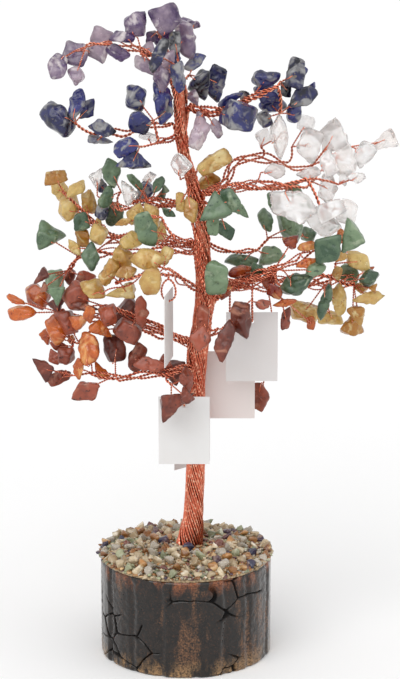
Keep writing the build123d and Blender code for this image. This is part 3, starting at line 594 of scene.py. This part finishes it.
core_rings = upright_rings(solids_of("trunk_core")[0][0], LIMB)
core_middles = core_rings.mean(axis=1)
core_radii = np.linalg.norm(core_rings - core_middles[:, None], axis=2).mean(axis=1)
strands = [upright_rings(points, STRAND_SIDES).mean(axis=1)
           for points, faces in solids_of("trunk_strands")]
strand_tops = np.array([strand[-1] for strand in strands])


def core_at(heights):
    """Middle of the trunk's core at some heights."""
    return np.stack([np.interp(heights, core_middles[:, 2], core_middles[:, axis])
                     for axis in range(3)], axis=-1)


def strand_line(strand, heights, turn=0.0, out=0.0):
    """A strand at some heights, wound evenly round the core; it may be turned and moved out."""
    offsets = strand - core_at(strand[:, 2])
    angles = np.unwrap(np.arctan2(offsets[:, 1], offsets[:, 0]))
    reaches = np.hypot(offsets[:, 0], offsets[:, 1])
    angle = np.interp(heights, strand[:, 2], angles) + turn
    reach = np.interp(heights, strand[:, 2], reaches) + out
    line = core_at(heights)
    line[:, 0] += reach * np.cos(angle)
    line[:, 1] += reach * np.sin(angle)
    return line


print("trunk strands:", len(strands), "core bends:", len(core_middles))

# %% Wind the strands
STRAND_WIRES = 2
STRAND_STEP = 0.7 * MM
TWISTED_FROM, TWISTED_AT = 0.5, 0.72
LONG_LAY, SHORT_LAY = 75 * MM, 6 * MM
LOW_WIRES, HIGH_WIRE = (1.5, 2.1), 1.3
LOW_ROUND, ROUND_GROWTH = 0.8, 0.5
STRAND_SWAY, SWAY_SCALE, SWAY_APART = 0.35 * MM, 60, 7
SPLAY, SPLAY_SHARE = 2.2 * MM, (0.4, 1)
SPLAY_ABOVE, SPLAY_BELOW = 20 * MM, 3 * MM
bed_low, bed_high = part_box("glue_bed")

trunk = Coil()
for number, strand in enumerate(strands):
    count = math.ceil(np.ptp(strand[:, 2]) / STRAND_STEP)
    heights = np.linspace(strand[0, 2], strand[-1, 2], count)
    sway = STRAND_SWAY * np.array([
        noise.noise(Vector((SWAY_APART * number, 0, SWAY_SCALE * height))) for height in heights])
    inward = core_at(heights) - strand_line(strand, heights)
    inward /= np.linalg.norm(inward, axis=1)[:, None]
    above = heights - bed_high.z
    near_foot = np.clip(1 - np.where(above > 0, above / SPLAY_ABOVE, -above / SPLAY_BELOW), 0, 1)
    splay = dice.uniform(*SPLAY_SHARE) * SPLAY * np.clip(inward[:, 0], 0, 1) * near_foot ** 2
    line = strand_line(strand, heights, out=sway + splay)
    twisted = np.interp(heights / core_middles[-1, 2], (TWISTED_FROM, TWISTED_AT), (0, 1))
    lay = LONG_LAY * (SHORT_LAY / LONG_LAY) ** twisted
    wire = WIRE * (dice.uniform(*LOW_WIRES) * (1 - twisted) + HIGH_WIRE * twisted)
    rounds = WIRE * (LOW_ROUND + ROUND_GROWTH * twisted)
    # The strands get painted shade on the side that faces the core.
    trunk.wind(line, rounds, STRAND_WIRES, lay, wire, inward, TRUNK_PAINTED_SHADE)
trunk.add("trunk_strands.wires", ["trunk_strands"])
print("corners in the strands:", trunk.size)

# %% Wind the core
CORE_WIRES = 30
CORE_LAY = -72 * MM
CORE_STEP = 1.5 * MM
CORE_ROUND, CORE_WIRE = 0.86, 0.1
core = Coil()
core_line = smooth_line(core_middles, CORE_STEP)
core_reach = np.interp(core_line[:, 2], core_middles[:, 2], core_radii)
# The core's wires get heavy painted shade all round, as if the gaps between the strands were in shadow.
core.wind(core_line, CORE_ROUND * core_reach, CORE_WIRES, CORE_LAY, CORE_WIRE * core_reach,
          painted_shade_level=CORE_PAINTED_SHADE)
core.add("trunk_core.wires", ["trunk_core"])
print("corners in the core:", core.size)

# %% [markdown]
# ## Boughs
#
# A bough's strands peel off the trunk together, run side by side along the limb, and leave it one
# after the other, each to its own fork.  There the strand parts into stems.  The two wires of a
# stem part once more at the chip, pass over its front and back, and meet in the drilled hole.
# Each bar could be wound by itself, but a strand drawn whole, from the trunk to its fork, has no
# seams, and the limb grows thinner by itself as strands leave it.

# %% Sort the bars of a bough
FORK_ROOM = 0.2 * MM
CLOSE_CHIPS = 5


def nearest(points, place):
    gaps = np.linalg.norm(points - place, axis=1)
    return int(np.argmin(gaps)), float(gaps.min())


def chip_of(end):
    """The chip that holds a stem's end: its number, and how deep the end is (below 1 is inside)."""
    close = np.argsort(np.linalg.norm(stone_middles - end, axis=1))[:CLOSE_CHIPS]
    depths = [np.max(stones[each].normals @ (end - stones[each].middle) / stones[each].reaches)
              for each in close]
    best = int(np.argmin(depths))
    return int(close[best]), depths[best]


def forks_of(name):
    """The forks of a bough: for each its place, where it leaves the limb, and its chips."""
    forks = []
    for middles, radii, sides in bars[name]:
        if sides != STEM:
            continue
        (one, one_depth), (two, two_depth) = chip_of(middles[0]), chip_of(middles[1])
        chip, place = (one, middles[1]) if one_depth < two_depth else (two, middles[0])
        known = [fork for fork in forks if np.linalg.norm(fork["place"] - place) < FORK_ROOM]
        if not known:
            known = [{"place": place, "leaves": place, "chips": []}]
            forks += known
        known[0]["chips"].append(chip)
    for middles, radii, sides in bars[name]:
        if sides == TWIG:
            for fork in forks:
                for near, far in (middles, middles[::-1]):
                    if np.linalg.norm(fork["place"] - near) < FORK_ROOM:
                        fork["leaves"] = far
    return forks


boughs = {name: forks_of(name) for name in wire_nodes}
print("sprays:", sum(map(len, boughs.values())),
      "stems:", sum(len(fork["chips"]) for forks in boughs.values() for fork in forks))

# %% Strands of a limb
LIMB_STEP, LIMB_LAY = 0.8 * MM, 34 * MM
PEEL = 22 * MM
PEEL_BENDS = 7
PEEL_TURN = 0.9
PEEL_OUT = (-0.3 * MM, 0.6 * MM)
ROOT_SPREAD, SPREAD = 0.9, (0.8, 2.5)
OPENING = 24 * MM
LOOSE, LOOSE_SCALE = 1.1 * MM, 150
FIRST_BEND, EVERY_BEND = 2, 3


def strand_path(limb, radii, root, fork, turn):
    """One spray's strand: up the trunk, along the limb beside its middle line, out to the fork."""
    line = smooth_line(limb, LIMB_STEP)
    first, second = line_frames(line)
    travel = travel_along(line)
    knots = [nearest(line, bend)[0] for bend in limb]
    reach = np.interp(np.arange(len(line)), knots, radii)
    spread = dice.uniform(*SPREAD)
    seed = dice.uniform(*SEEDS)
    top = strands[root][-1, 2]
    heights = np.linspace(top - PEEL, top, PEEL_BENDS)
    peel_turn = np.linspace(dice.uniform(-PEEL_TURN, PEEL_TURN), 0, PEEL_BENDS)
    peel_out = np.linspace(*PEEL_OUT, PEEL_BENDS)
    path = list(strand_line(strands[root], heights, peel_turn, peel_out)[:-1])
    leave = nearest(line, fork["leaves"])[0]
    for number in range(FIRST_BEND, leave, EVERY_BEND):
        angle = turn + 2 * math.pi * travel[number] / LIMB_LAY
        opened = min(1, travel[number] / OPENING)
        out = (ROOT_SPREAD + opened * (spread - ROOT_SPREAD)) * reach[number]
        out += opened * LOOSE * noise.noise(Vector((seed, LOOSE_SCALE * travel[number], 0)))
        around = math.cos(angle) * first[number] + math.sin(angle) * second[number]
        path.append(line[number] + out * around)
    if np.linalg.norm(fork["leaves"] - fork["place"]) > FORK_ROOM:
        path.append(0.5 * (fork["leaves"] + fork["place"]))
    path.append(fork["place"])
    return path


# %% Cords, stems and the wires on a chip
CORD_GROWTH = 0.5
CORD_LAY = 11
CORD_STEP = 1.2
HOLE_TURN, HOLE_DEPTH = math.radians(48), 0.55
HOLE_BENDS = (0.25, 0.6, 1)
PART_ROOM = 0.6 * MM
LIFT = 0.8 * WIRE


def wind_pair(coil, path, cord):
    """Two cords twisted together along a path."""
    coil.wind(smooth_line(path, CORD_STEP * cord), cord, 2, CORD_LAY * cord, cord)


def chip_wires(coil, stone, fork):
    """The two wires of a stem: twisted from the fork to the chip, then over it into its hole."""
    pull = fork - stone.middle
    pull /= np.linalg.norm(pull)
    flat = stone.normals[np.argmin(stone.reaches)]
    side = flat - np.dot(flat, pull) * pull
    side /= np.linalg.norm(side)
    part = stone.surface(pull[None])[0] + PART_ROOM * pull
    for way in (-1, 1):
        path = [part]
        for share in HOLE_BENDS:
            turn = share * HOLE_TURN
            direction = math.cos(turn) * pull + way * math.sin(turn) * side
            path.append(stone.surface(direction[None])[0] + LIFT * direction)
        path.append(stone.middle + HOLE_DEPTH * (path[-1] - stone.middle))
        coil.follow(path, WIRE)
    if np.dot(fork - part, pull) > 0:
        wind_pair(coil, [fork, part], WIRE)


# %% Wind the boughs
for name, forks in boughs.items():
    coil = Coil()
    limb, radii, sides = next(bar for bar in bars[name] if bar[2] == LIMB)
    if nearest(strand_tops, limb[0])[1] > nearest(strand_tops, limb[-1])[1]:
        limb, radii = limb[::-1], radii[::-1]
    root = nearest(strand_tops, limb[0])[0]
    for number, fork in enumerate(forks):
        path = strand_path(limb, radii, root, fork, 2 * math.pi * number / len(forks))
        wind_pair(coil, path, WIRE * len(fork["chips"]) ** CORD_GROWTH)
        for chip in fork["chips"]:
            chip_wires(coil, stones[chip], fork["place"])
    coil.add(name + ".twisted", [name])
print("boughs wound:", len(boughs))

# %% [markdown]
# ## Tag loops
#
# Each tag hangs on a short neck of twisted wire that ends in a round loop.  A torus would give a
# plain ring, but the loop is the same twisted pair as its neck, so it is wound in the same way,
# round the middle line of the frame's ring.

# %% Loops
TAG_WIRE = 0.26 * MM
TAG_LAY = 2.6 * MM
TAG_STEP = TAG_LAY / 9
RING_ROOM = 0.75 * MM


def ring_line(points):
    """Middle line of a ring: the middles of its sections, in order round it and closed."""
    left = list(points)
    sections = []
    while left:
        close = [np.linalg.norm(point - left[0]) < RING_ROOM for point in left]
        sections.append(np.mean([point for point, near in zip(left, close) if near], axis=0))
        left = [point for point, near in zip(left, close) if not near]
    sections = np.array(sections)
    spokes = sections - sections.mean(axis=0)
    level = spokes[np.argmax(np.hypot(spokes[:, 0], spokes[:, 1]))] * (1, 1, 0)
    order = np.argsort(np.arctan2(spokes[:, 2], spokes @ level / np.linalg.norm(level)))
    return np.vstack([sections[order], sections[order][:1]])


loop_nodes = sorted(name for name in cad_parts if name.startswith("loop_"))
for name in loop_nodes:
    coil = Coil()
    for points, faces in solids_of(name):
        is_neck = len(points) == 2 * TWIG
        middles = bar_line(points, faces)[0] if is_neck else ring_line(points)
        coil.wind(smooth_line(middles, TAG_STEP), TAG_WIRE, 2, TAG_LAY, TAG_WIRE)
    coil.add(name + ".twisted", [name])
print("loops wound:", len(loop_nodes))

# %% [markdown]
# ## Cards
#
# The tags are plain white card, a little grey with age.  The frame's cards already have the right
# shape and hole and hang on their hinges, so they stay and only get a material: pulp as a fine
# bump, and a slow noise for the grey.  Each card has its own tone; card C's is paler than the
# others as painted light, to lift the shade it hangs in behind card B and the trunk.

# %% Card
PULP, SOIL = 1500, 45
CARD_BUMP, CARD_GRAIN = 0.15, 0.03 * MM
card_fibre, given, result = new_group(
    "card_fibre", [("Tone", "Color")], [("Color", "Color"), ("Height", "Float")])
spot = place_of(card_fibre)
pulp = noise_of(card_fibre, spot, PULP, 5)
soil = ramp(card_fibre, noise_of(card_fibre, spot, SOIL, 3), 0.45, 0.9, 0, 0.5)
colour = mix(card_fibre, soil, given["Tone"], screen(206, 198, 194))
connect(card_fibre, result, {"Color": colour, "Height": pulp})


def dress_node(name, material):
    """Gives a carried-over node its material."""
    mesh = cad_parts[name].data
    mesh.materials.clear()
    mesh.materials.append(material)


# Painted light: card_c is made paler than the other cards to make up for the shade it hangs in.
card_tones = {"card_a": (218, 214, 212), "card_b": (211, 207, 206), "card_c": (228, 218, 215),
              "card_d": (224, 223, 222), "card_e": (216, 212, 210)}
for name, tone in card_tones.items():
    material, tree, shader = new_material(name, Roughness=0.75)
    fibre = use_group(tree, card_fibre, {"Tone": screen(*tone)})
    connect(tree, shader, {"Base Color": fibre["Color"]})
    add_bump(tree, shader, fibre["Height"], CARD_BUMP, CARD_GRAIN)
    dress_node(name, material)
print("cards:", len(card_tones))

# %% [markdown]
# ## Gravel
#
# The gravel is scrap from the same stones, thrown on wet glue.  The frame's bits are the larger
# ones; smaller splinters fill the gaps between them and lie over the edge of the bed.  A particle
# system could scatter the splinters, but it lets them run into one another.  Here each is thrown
# at random and kept only where the others leave it room.

# %% The frame's bits
BIT_SHARPNESS = 30
BIT_DENTS = 0.08
BIT_ROOM = 0.7
bit_places = []
for name in gravel_nodes:
    worn = [worn_lump(points, faces, BIT_SHARPNESS) for points, faces in solids_of(name)]
    surfaces = [bit.dented(bit_ways, BIT_DENTS, dice.uniform(*SEEDS)) for bit in worn]
    add_stones(name + ".tumbled", surfaces, bit_triangles, name, [name])
    bit_places += [(*bit.middle[:2], BIT_ROOM * bit.reaches.mean()) for bit in worn]
print("bits:", len(bit_places))

# %% The bed and the foot of the trunk
BED_SKIRT = 0.5 * MM
FOOT_GAP = 1.2 * MM
bed_radius = (bed_high.x - bed_low.x) / 2
bed_corners = np.array([vert.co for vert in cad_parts["glue_bed"].data.vertices])
bed_corners = bed_corners[bed_corners[:, 2] > bed_low.z + BED_SKIRT]
bed_rims = np.hypot(bed_corners[:, 0], bed_corners[:, 1])
bed_order = np.argsort(bed_rims)
foot = core_at(np.array([bed_high.z]))[0]
foot_room = np.interp(bed_high.z, core_middles[:, 2], core_radii) + FOOT_GAP
print("bed radius, mm:", round(bed_radius / MM, 1), "room at the foot:", round(foot_room / MM, 1))

# %% Splinters between the bits
SPLINTERS = 14000
SPLINTER_SIZE = (0.4 * MM, 1.1 * MM)
SPLINTER_CROWD = 0.62
SPLINTER_FLATS, FLAT_REACH, BOX_REACH = 9, (0.5, 1), 1.4
SQUAT = (1.15, 1.15, 0.75)
PILE = 1.2
OVERHANG = 0.9 * MM
mix_of_kinds = {"gravel_cream": 6, "gravel_amber": 4, "gravel_green": 2, "gravel_dark": 1.5,
                "gravel_clear": 2}
splinter_ways, splinter_triangles = ball(2)
box_flats = np.vstack([np.eye(3), -np.eye(3)])


def splinter(size):
    """A sharp bit with random flats, kept inside a box."""
    flats = np.array([[dice.gauss(0, 1) for axis in range(3)] for flat in range(SPLINTER_FLATS)])
    flats /= np.linalg.norm(flats, axis=1)[:, None]
    reaches = [size * dice.uniform(*FLAT_REACH) for flat in flats]
    reaches += [BOX_REACH * size] * len(box_flats)
    return Worn(np.zeros(3), np.vstack([flats, box_flats]), np.array(reaches), BIT_SHARPNESS)


places = np.array(bit_places)
splinters = {name: [] for name in gravel_nodes}
for attempt in range(SPLINTERS):
    size = dice.uniform(*SPLINTER_SIZE)
    out = (bed_radius + OVERHANG) * math.sqrt(dice.random())
    angle = dice.uniform(0, 2 * math.pi)
    x, y = out * math.cos(angle), out * math.sin(angle)
    gaps = np.hypot(places[:, 0] - x, places[:, 1] - y) - SPLINTER_CROWD * (places[:, 2] + size)
    if gaps.min() < 0 or math.hypot(x - foot[0], y - foot[1]) < foot_room + size:
        continue
    places = np.vstack([places, (x, y, size)])
    bed = np.interp(out, bed_rims[bed_order], bed_corners[bed_order, 2])
    rest = bed + dice.uniform(0, PILE) * size
    surface = splinter(size).surface(splinter_ways) * SQUAT + (x, y, rest)
    kind = dice.choices(list(mix_of_kinds), list(mix_of_kinds.values()))[0]
    splinters[kind].append(surface)
for name, surfaces in splinters.items():
    add_stones(name + ".splinters", surfaces, splinter_triangles, name)
print("splinters:", len(places) - len(bit_places))

# %% [markdown]
# ## Glue bed
#
# Under the gravel lies set glue with stone dust in it.  Only specks of it show, so the frame's bed
# stays as it is, with a sandy colour and bump.

# %% Glue
SAND = 800
glue, tree, shader = new_material("glue", Roughness=0.3)
sand = noise_of(tree, place_of(tree), SAND, 6)
colour = mix(tree, ramp(tree, sand, 0.35, 0.65), screen(92, 70, 48), screen(190, 166, 128))
connect(tree, shader, {"Base Color": colour})
add_bump(tree, shader, sand, 0.6, 0.5 * MM)
dress_node("glue_bed", glue)
print("glue bed, mm:", round((bed_high.z - bed_low.z) / MM, 1))

# %% [markdown]
# ## Log slice
#
# The pot is a slice of log with its bark on, under thick clear lacquer.  The bark's plates are
# almost black and smooth; the furrows between them are rough and show the brown inner bark.
# The frame's bark has the plates and furrows.  Here its surface is sampled with rays, softened
# and roughened.  As a log dries, its plates crack into cells, so the edges of random cells are
# cut into the mesh where a slow noise says that the wood has dried.  A displacement in the
# material could cut them too, but the exported model would lose it.

# %% Sample the frame's bark
AROUND, UP = 680, 140
RIM_ROOM = 0.1 * MM
SOFT = 3
PLATE_SHARE = 80
FURROW = 1.1 * MM
bark_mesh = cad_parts["bark_shell"].data
bark_tree = BVHTree.FromPolygons(
    [vert.co for vert in bark_mesh.vertices], [tuple(face.vertices) for face in bark_mesh.polygons])
bark_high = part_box("bark_shell")[1]
base_height = bark_high.z
turns = np.linspace(-math.pi, math.pi, AROUND, endpoint=False)
heights = np.linspace(0, base_height, UP)
rims = np.zeros((UP, AROUND))
for row, height in enumerate(np.clip(heights, RIM_ROOM, base_height - RIM_ROOM)):
    for column, turn in enumerate(turns):
        way = Vector((math.cos(turn), math.sin(turn), 0))
        hit = bark_tree.ray_cast(2 * bark_high.x * way + Vector((0, 0, height)), -way)[0]
        rims[row, column] = hit.xy.length
soft = sum(np.roll(rims, shift, axis=1) for shift in range(-SOFT, SOFT + 1)) / (2 * SOFT + 1)
plate = np.percentile(soft, PLATE_SHARE)
furrows = np.clip((plate - soft) / FURROW, 0, 1)
print("bark radius, mm:", round(rims.min() / MM, 2), "to", round(rims.max() / MM, 2))

# %% Cracks
CRACK_DEPTH = 0.8 * MM
CRACK_CELLS, CRACK_FLAT = 55, Vector((1, 1, 1.6))
CRACK_EDGE = (0.015, 0.05)
CRACK_WANDER, WANDER_SCALE, WANDER_APART = 2.2 * MM, 110, (0, 30, 60)
DRIED_SCALE, DRIED_SPAN = 40, (0, 0.15)


def crack_at(spot):
    """How far a spot of the bark is cracked, 0 to 1."""
    wander = Vector([noise.noise(spot * WANDER_SCALE + Vector((far, 0, 0))) for far in WANDER_APART])
    bent = spot * CRACK_FLAT + CRACK_WANDER * wander
    cells = noise.voronoi(bent * CRACK_CELLS)[0]
    dried = np.interp(noise.noise(spot * DRIED_SCALE), DRIED_SPAN, (0, 1))
    return dried * np.interp(cells[1] - cells[0], CRACK_EDGE, (1, 0))


# %% Roughen and crack the bark
ROUGH_SCALE = 500
PLATE_ROUGH, FURROW_ROUGH = 0.08, 0.25
EDGE_WIDTH, EDGE_WEAR = 1.2 * MM, 0.7 * MM
bark_points, uppers, cracks = [], [], []
for row, height in enumerate(heights):
    edge = max(0.0, 1 - min(height, base_height - height) / EDGE_WIDTH)
    for column, turn in enumerate(turns):
        rim = soft[row, column]
        spot = Vector((rim * math.cos(turn), rim * math.sin(turn), height))
        crack = crack_at(spot)
        rough = noise.fractal(spot * ROUGH_SCALE, 1.0, 2.1, 4)
        depth = (PLATE_ROUGH + FURROW_ROUGH * furrows[row, column]) * MM * rough + EDGE_WEAR * edge ** 2
        depth += CRACK_DEPTH * crack
        cracks.append(crack)
        bark_points.append(((rim - depth) * math.cos(turn), (rim - depth) * math.sin(turn), height))
        uppers.append(height / base_height)
bark_furrows = list(furrows.reshape(-1))
print("cracked share:", round(float(np.mean(np.array(cracks) > 0.5)), 3))

# %% Close it with a bore and two ends
BORE_ROOM = 0.1 * MM
BORE_FURROW = 0.6
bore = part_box("wood_core")[1].x + BORE_ROOM
for height in (0, base_height):
    for turn in turns:
        bark_points.append((bore * math.cos(turn), bore * math.sin(turn), height))
        uppers.append(height / base_height)
        bark_furrows.append(BORE_FURROW)
        cracks.append(0)
grid = np.arange(UP * AROUND).reshape(UP, AROUND)
bore_low, bore_high = np.arange(2 * AROUND).reshape(2, AROUND) + grid.size
belts = [*zip(grid, grid[1:]), (grid[-1], bore_high), (bore_high, bore_low), (bore_low, grid[0])]
bark_faces = np.vstack([
    np.stack([low, np.roll(low, -1), np.roll(high, -1), high], axis=-1) for low, high in belts])
print("bark faces:", len(bark_faces))

# %% [markdown]
# ## Bark's colours
#
# Seen close, the black plates have brown specks, brown inner bark shows in patches that follow
# the furrows, the upper rim is reddish where the saw opened it, and the foot is rubbed pale.
# Each of these is a mask, from noise and from the numbers that the mesh carries, between two
# colours.  The lacquer is a clear coat over all of it, but not in the cracks, which are painted
# near black as shade.

# %% Colours of the bark
GRAIN, MOTTLE, PATCH, STREAK = 420, 1300, 90, 190
bark, tree, shader = new_material("bark", Coat_Roughness=0.1, Specular_IOR_Level=0.1)
furrow_mask, upper_mask = mask_of(tree, "furrow"), mask_of(tree, "upper")
spot = place_of(tree)
upright = add_node(tree, "VectorMath", {0: spot, 1: (1, 1, 0.4)}, operation="MULTIPLY").outputs[0]
grain = noise_of(tree, spot, GRAIN, 6, Roughness=0.65)
mottle = noise_of(tree, spot, MOTTLE, 5, Roughness=0.75)
patch = noise_of(tree, upright, PATCH, 6, Roughness=0.65)
streak = noise_of(tree, upright, STREAK, 4)
speck = ramp(tree, mottle, 0.4, 0.6)
plates = mix(tree, ramp(tree, grain, 0.4, 0.7), screen(6, 5, 4), screen(36, 26, 20))
plates = mix(tree, ramp(tree, mottle, 0.56, 0.7, 0, 0.7), plates, screen(104, 68, 44))
inner = mix(tree, ramp(tree, mottle, 0.42, 0.66), screen(20, 13, 9), screen(128, 88, 58))
zone = math_of(tree, "ADD", patch, math_of(tree, "MULTIPLY", furrow_mask, 0.09))
colour = mix(tree, ramp(tree, zone, 0.55, 0.63), plates, inner)
rim_mask = math_of(
    tree, "MULTIPLY", ramp(tree, upper_mask, 0.84, 1.0), ramp(tree, streak, 0.46, 0.58))
colour = mix(tree, rim_mask, colour, mix(tree, speck, screen(74, 36, 20), screen(160, 94, 54)))
foot_mask = math_of(
    tree, "MULTIPLY", ramp(tree, upper_mask, 0.2, 0.02), ramp(tree, patch, 0.47, 0.55))
colour = mix(tree, foot_mask, colour, mix(tree, speck, screen(60, 44, 30), screen(164, 128, 86)))

# %% Lacquer, and painted shade in the cracks
LACQUER = 0.8
crack_mask = mask_of(tree, "crack")
# Painted shade: the cracks are filled with near black, standing in for the shadow deep in them.
colour = mix(tree, crack_mask, colour, screen(4, 3, 3))
connect(tree, shader, {"Base Color": colour, "Roughness": ramp(tree, zone, 0.5, 0.7, 0.24, 0.5),
                       "Coat Weight": ramp(tree, crack_mask, 0, 0.5, LACQUER, 0)})
add_bump(tree, shader, grain, 0.4, 0.4 * MM)
add_piece("bark_shell.plates", bark_points, bark_faces.tolist(), bark, ["bark_shell"],
          {"upper": uppers, "furrow": bark_furrows, "crack": cracks})
print("nodes in the bark's material:", len(tree.nodes))

# %% [markdown]
# ## Wood
#
# Inside the bark the log shows only from below, as sawn end grain.  Rings round the upright axis
# are enough for it, so the frame's core stays and gets a ring texture.

# %% Wood inside
wood, tree, shader = new_material("wood", Roughness=0.7)
rings = add_node(tree, "TexWave", {
    "Vector": place_of(tree), "Scale": 90, "Distortion": 2.5, "Detail": 3},
    wave_type="RINGS", rings_direction="Z").outputs["Fac"]
connect(tree, shader, {"Base Color": mix(tree, rings, screen(150, 108, 70), screen(205, 168, 120))})
add_bump(tree, shader, rings, 0.2, 0.3 * MM)
dress_node("wood_core", wood)
print("materials:", len(bpy.data.materials))

# %% [markdown]
# ## Studio
#
# A white table under a soft white sky, as in a catalogue picture.  More light would make the
# background whiter, but it would bleach the stones.  So the sky lights at 0.7, and only what the
# camera sees of it, straight or in copper and clear stone, is full white.  Two wide suns shape the
# chips without hard shadows.

# %% Floor
FLOOR_REACH = 12
floor, tree, shader = new_material("floor", Roughness=0.9, Specular_IOR_Level=0.1)
haze = noise_of(tree, place_of(tree), 3, 2)
connect(tree, shader, {"Base Color": mix(tree, haze, screen(250, 250, 250), screen(253, 253, 253))})
mesh = bpy.data.meshes.new("floor")
corners = [(x * FLOOR_REACH, y * FLOOR_REACH, 0) for x, y in ((-1, -1), (1, -1), (1, 1), (-1, 1))]
mesh.from_pydata(corners, [], [(0, 1, 2, 3)])
mesh.materials.append(floor)
table = bpy.data.objects.new("floor", mesh)
scene.collection.objects.link(table)
print("floor, m:", 2 * FLOOR_REACH)

# %% Sky and suns
SKY_LIGHT, SKY_SEEN = 0.7, 1
world = bpy.data.worlds.new("sky")
scene.world = world
world.use_nodes = True
sky = world.node_tree.nodes["Background"]
sky.inputs["Color"].default_value = (1, 1, 1, 1)
rays = add_node(world.node_tree, "LightPath").outputs
seen = rays["Is Camera Ray"]
for kind in ("Is Glossy Ray", "Is Transmission Ray"):
    seen = math_of(world.node_tree, "MAXIMUM", seen, rays[kind])
connect(world.node_tree, sky, {"Strength": ramp(world.node_tree, seen, 0, 1, SKY_LIGHT, SKY_SEEN)})


def add_sun(name, strength, spread, aim):
    """A sun that is spread degrees wide and shines along aim."""
    lamp = bpy.data.lights.new(name, "SUN")
    lamp.energy = strength
    lamp.angle = math.radians(spread)
    lamp_object = bpy.data.objects.new(name, lamp)
    lamp_object.rotation_euler = Vector(aim).to_track_quat("-Z", "Y").to_euler()
    scene.collection.objects.link(lamp_object)


add_sun("key", 1.2, 50, (0.45, 0.9, -1.0))
add_sun("fill", 0.45, 70, (-0.8, 0.6, -0.7))
print("suns:", len(bpy.data.lights))

# %% [markdown]
# ## Camera
#
# The photograph looks slightly down at the tree from the front.  The eye's place, the tilt and
# the focal length, in pixels of the photograph, were fitted to the log slice and the trunk.  The
# image is upright, so the sensor's size counts along its height.

# %% Camera
EYE = Vector((6.4, -850, 333)) * MM
TILT = 12.8
FOCAL_PIXELS = 2030
IMAGE_HEIGHT = 679
SENSOR = 36
CLIP_NEAR, CLIP_FAR = 0.05, 40
camera_data = bpy.data.cameras.new("camera")
camera_data.sensor_width = SENSOR
camera_data.lens = SENSOR * FOCAL_PIXELS / IMAGE_HEIGHT
camera_data.clip_start = CLIP_NEAR
camera_data.clip_end = CLIP_FAR
camera = bpy.data.objects.new("camera", camera_data)
camera.location = EYE
camera.rotation_euler = (math.radians(90 - TILT), 0, 0)
scene.collection.objects.link(camera)
scene.camera = camera
scene.view_settings.view_transform = "Standard"
print("lens, mm:", round(camera_data.lens, 1))
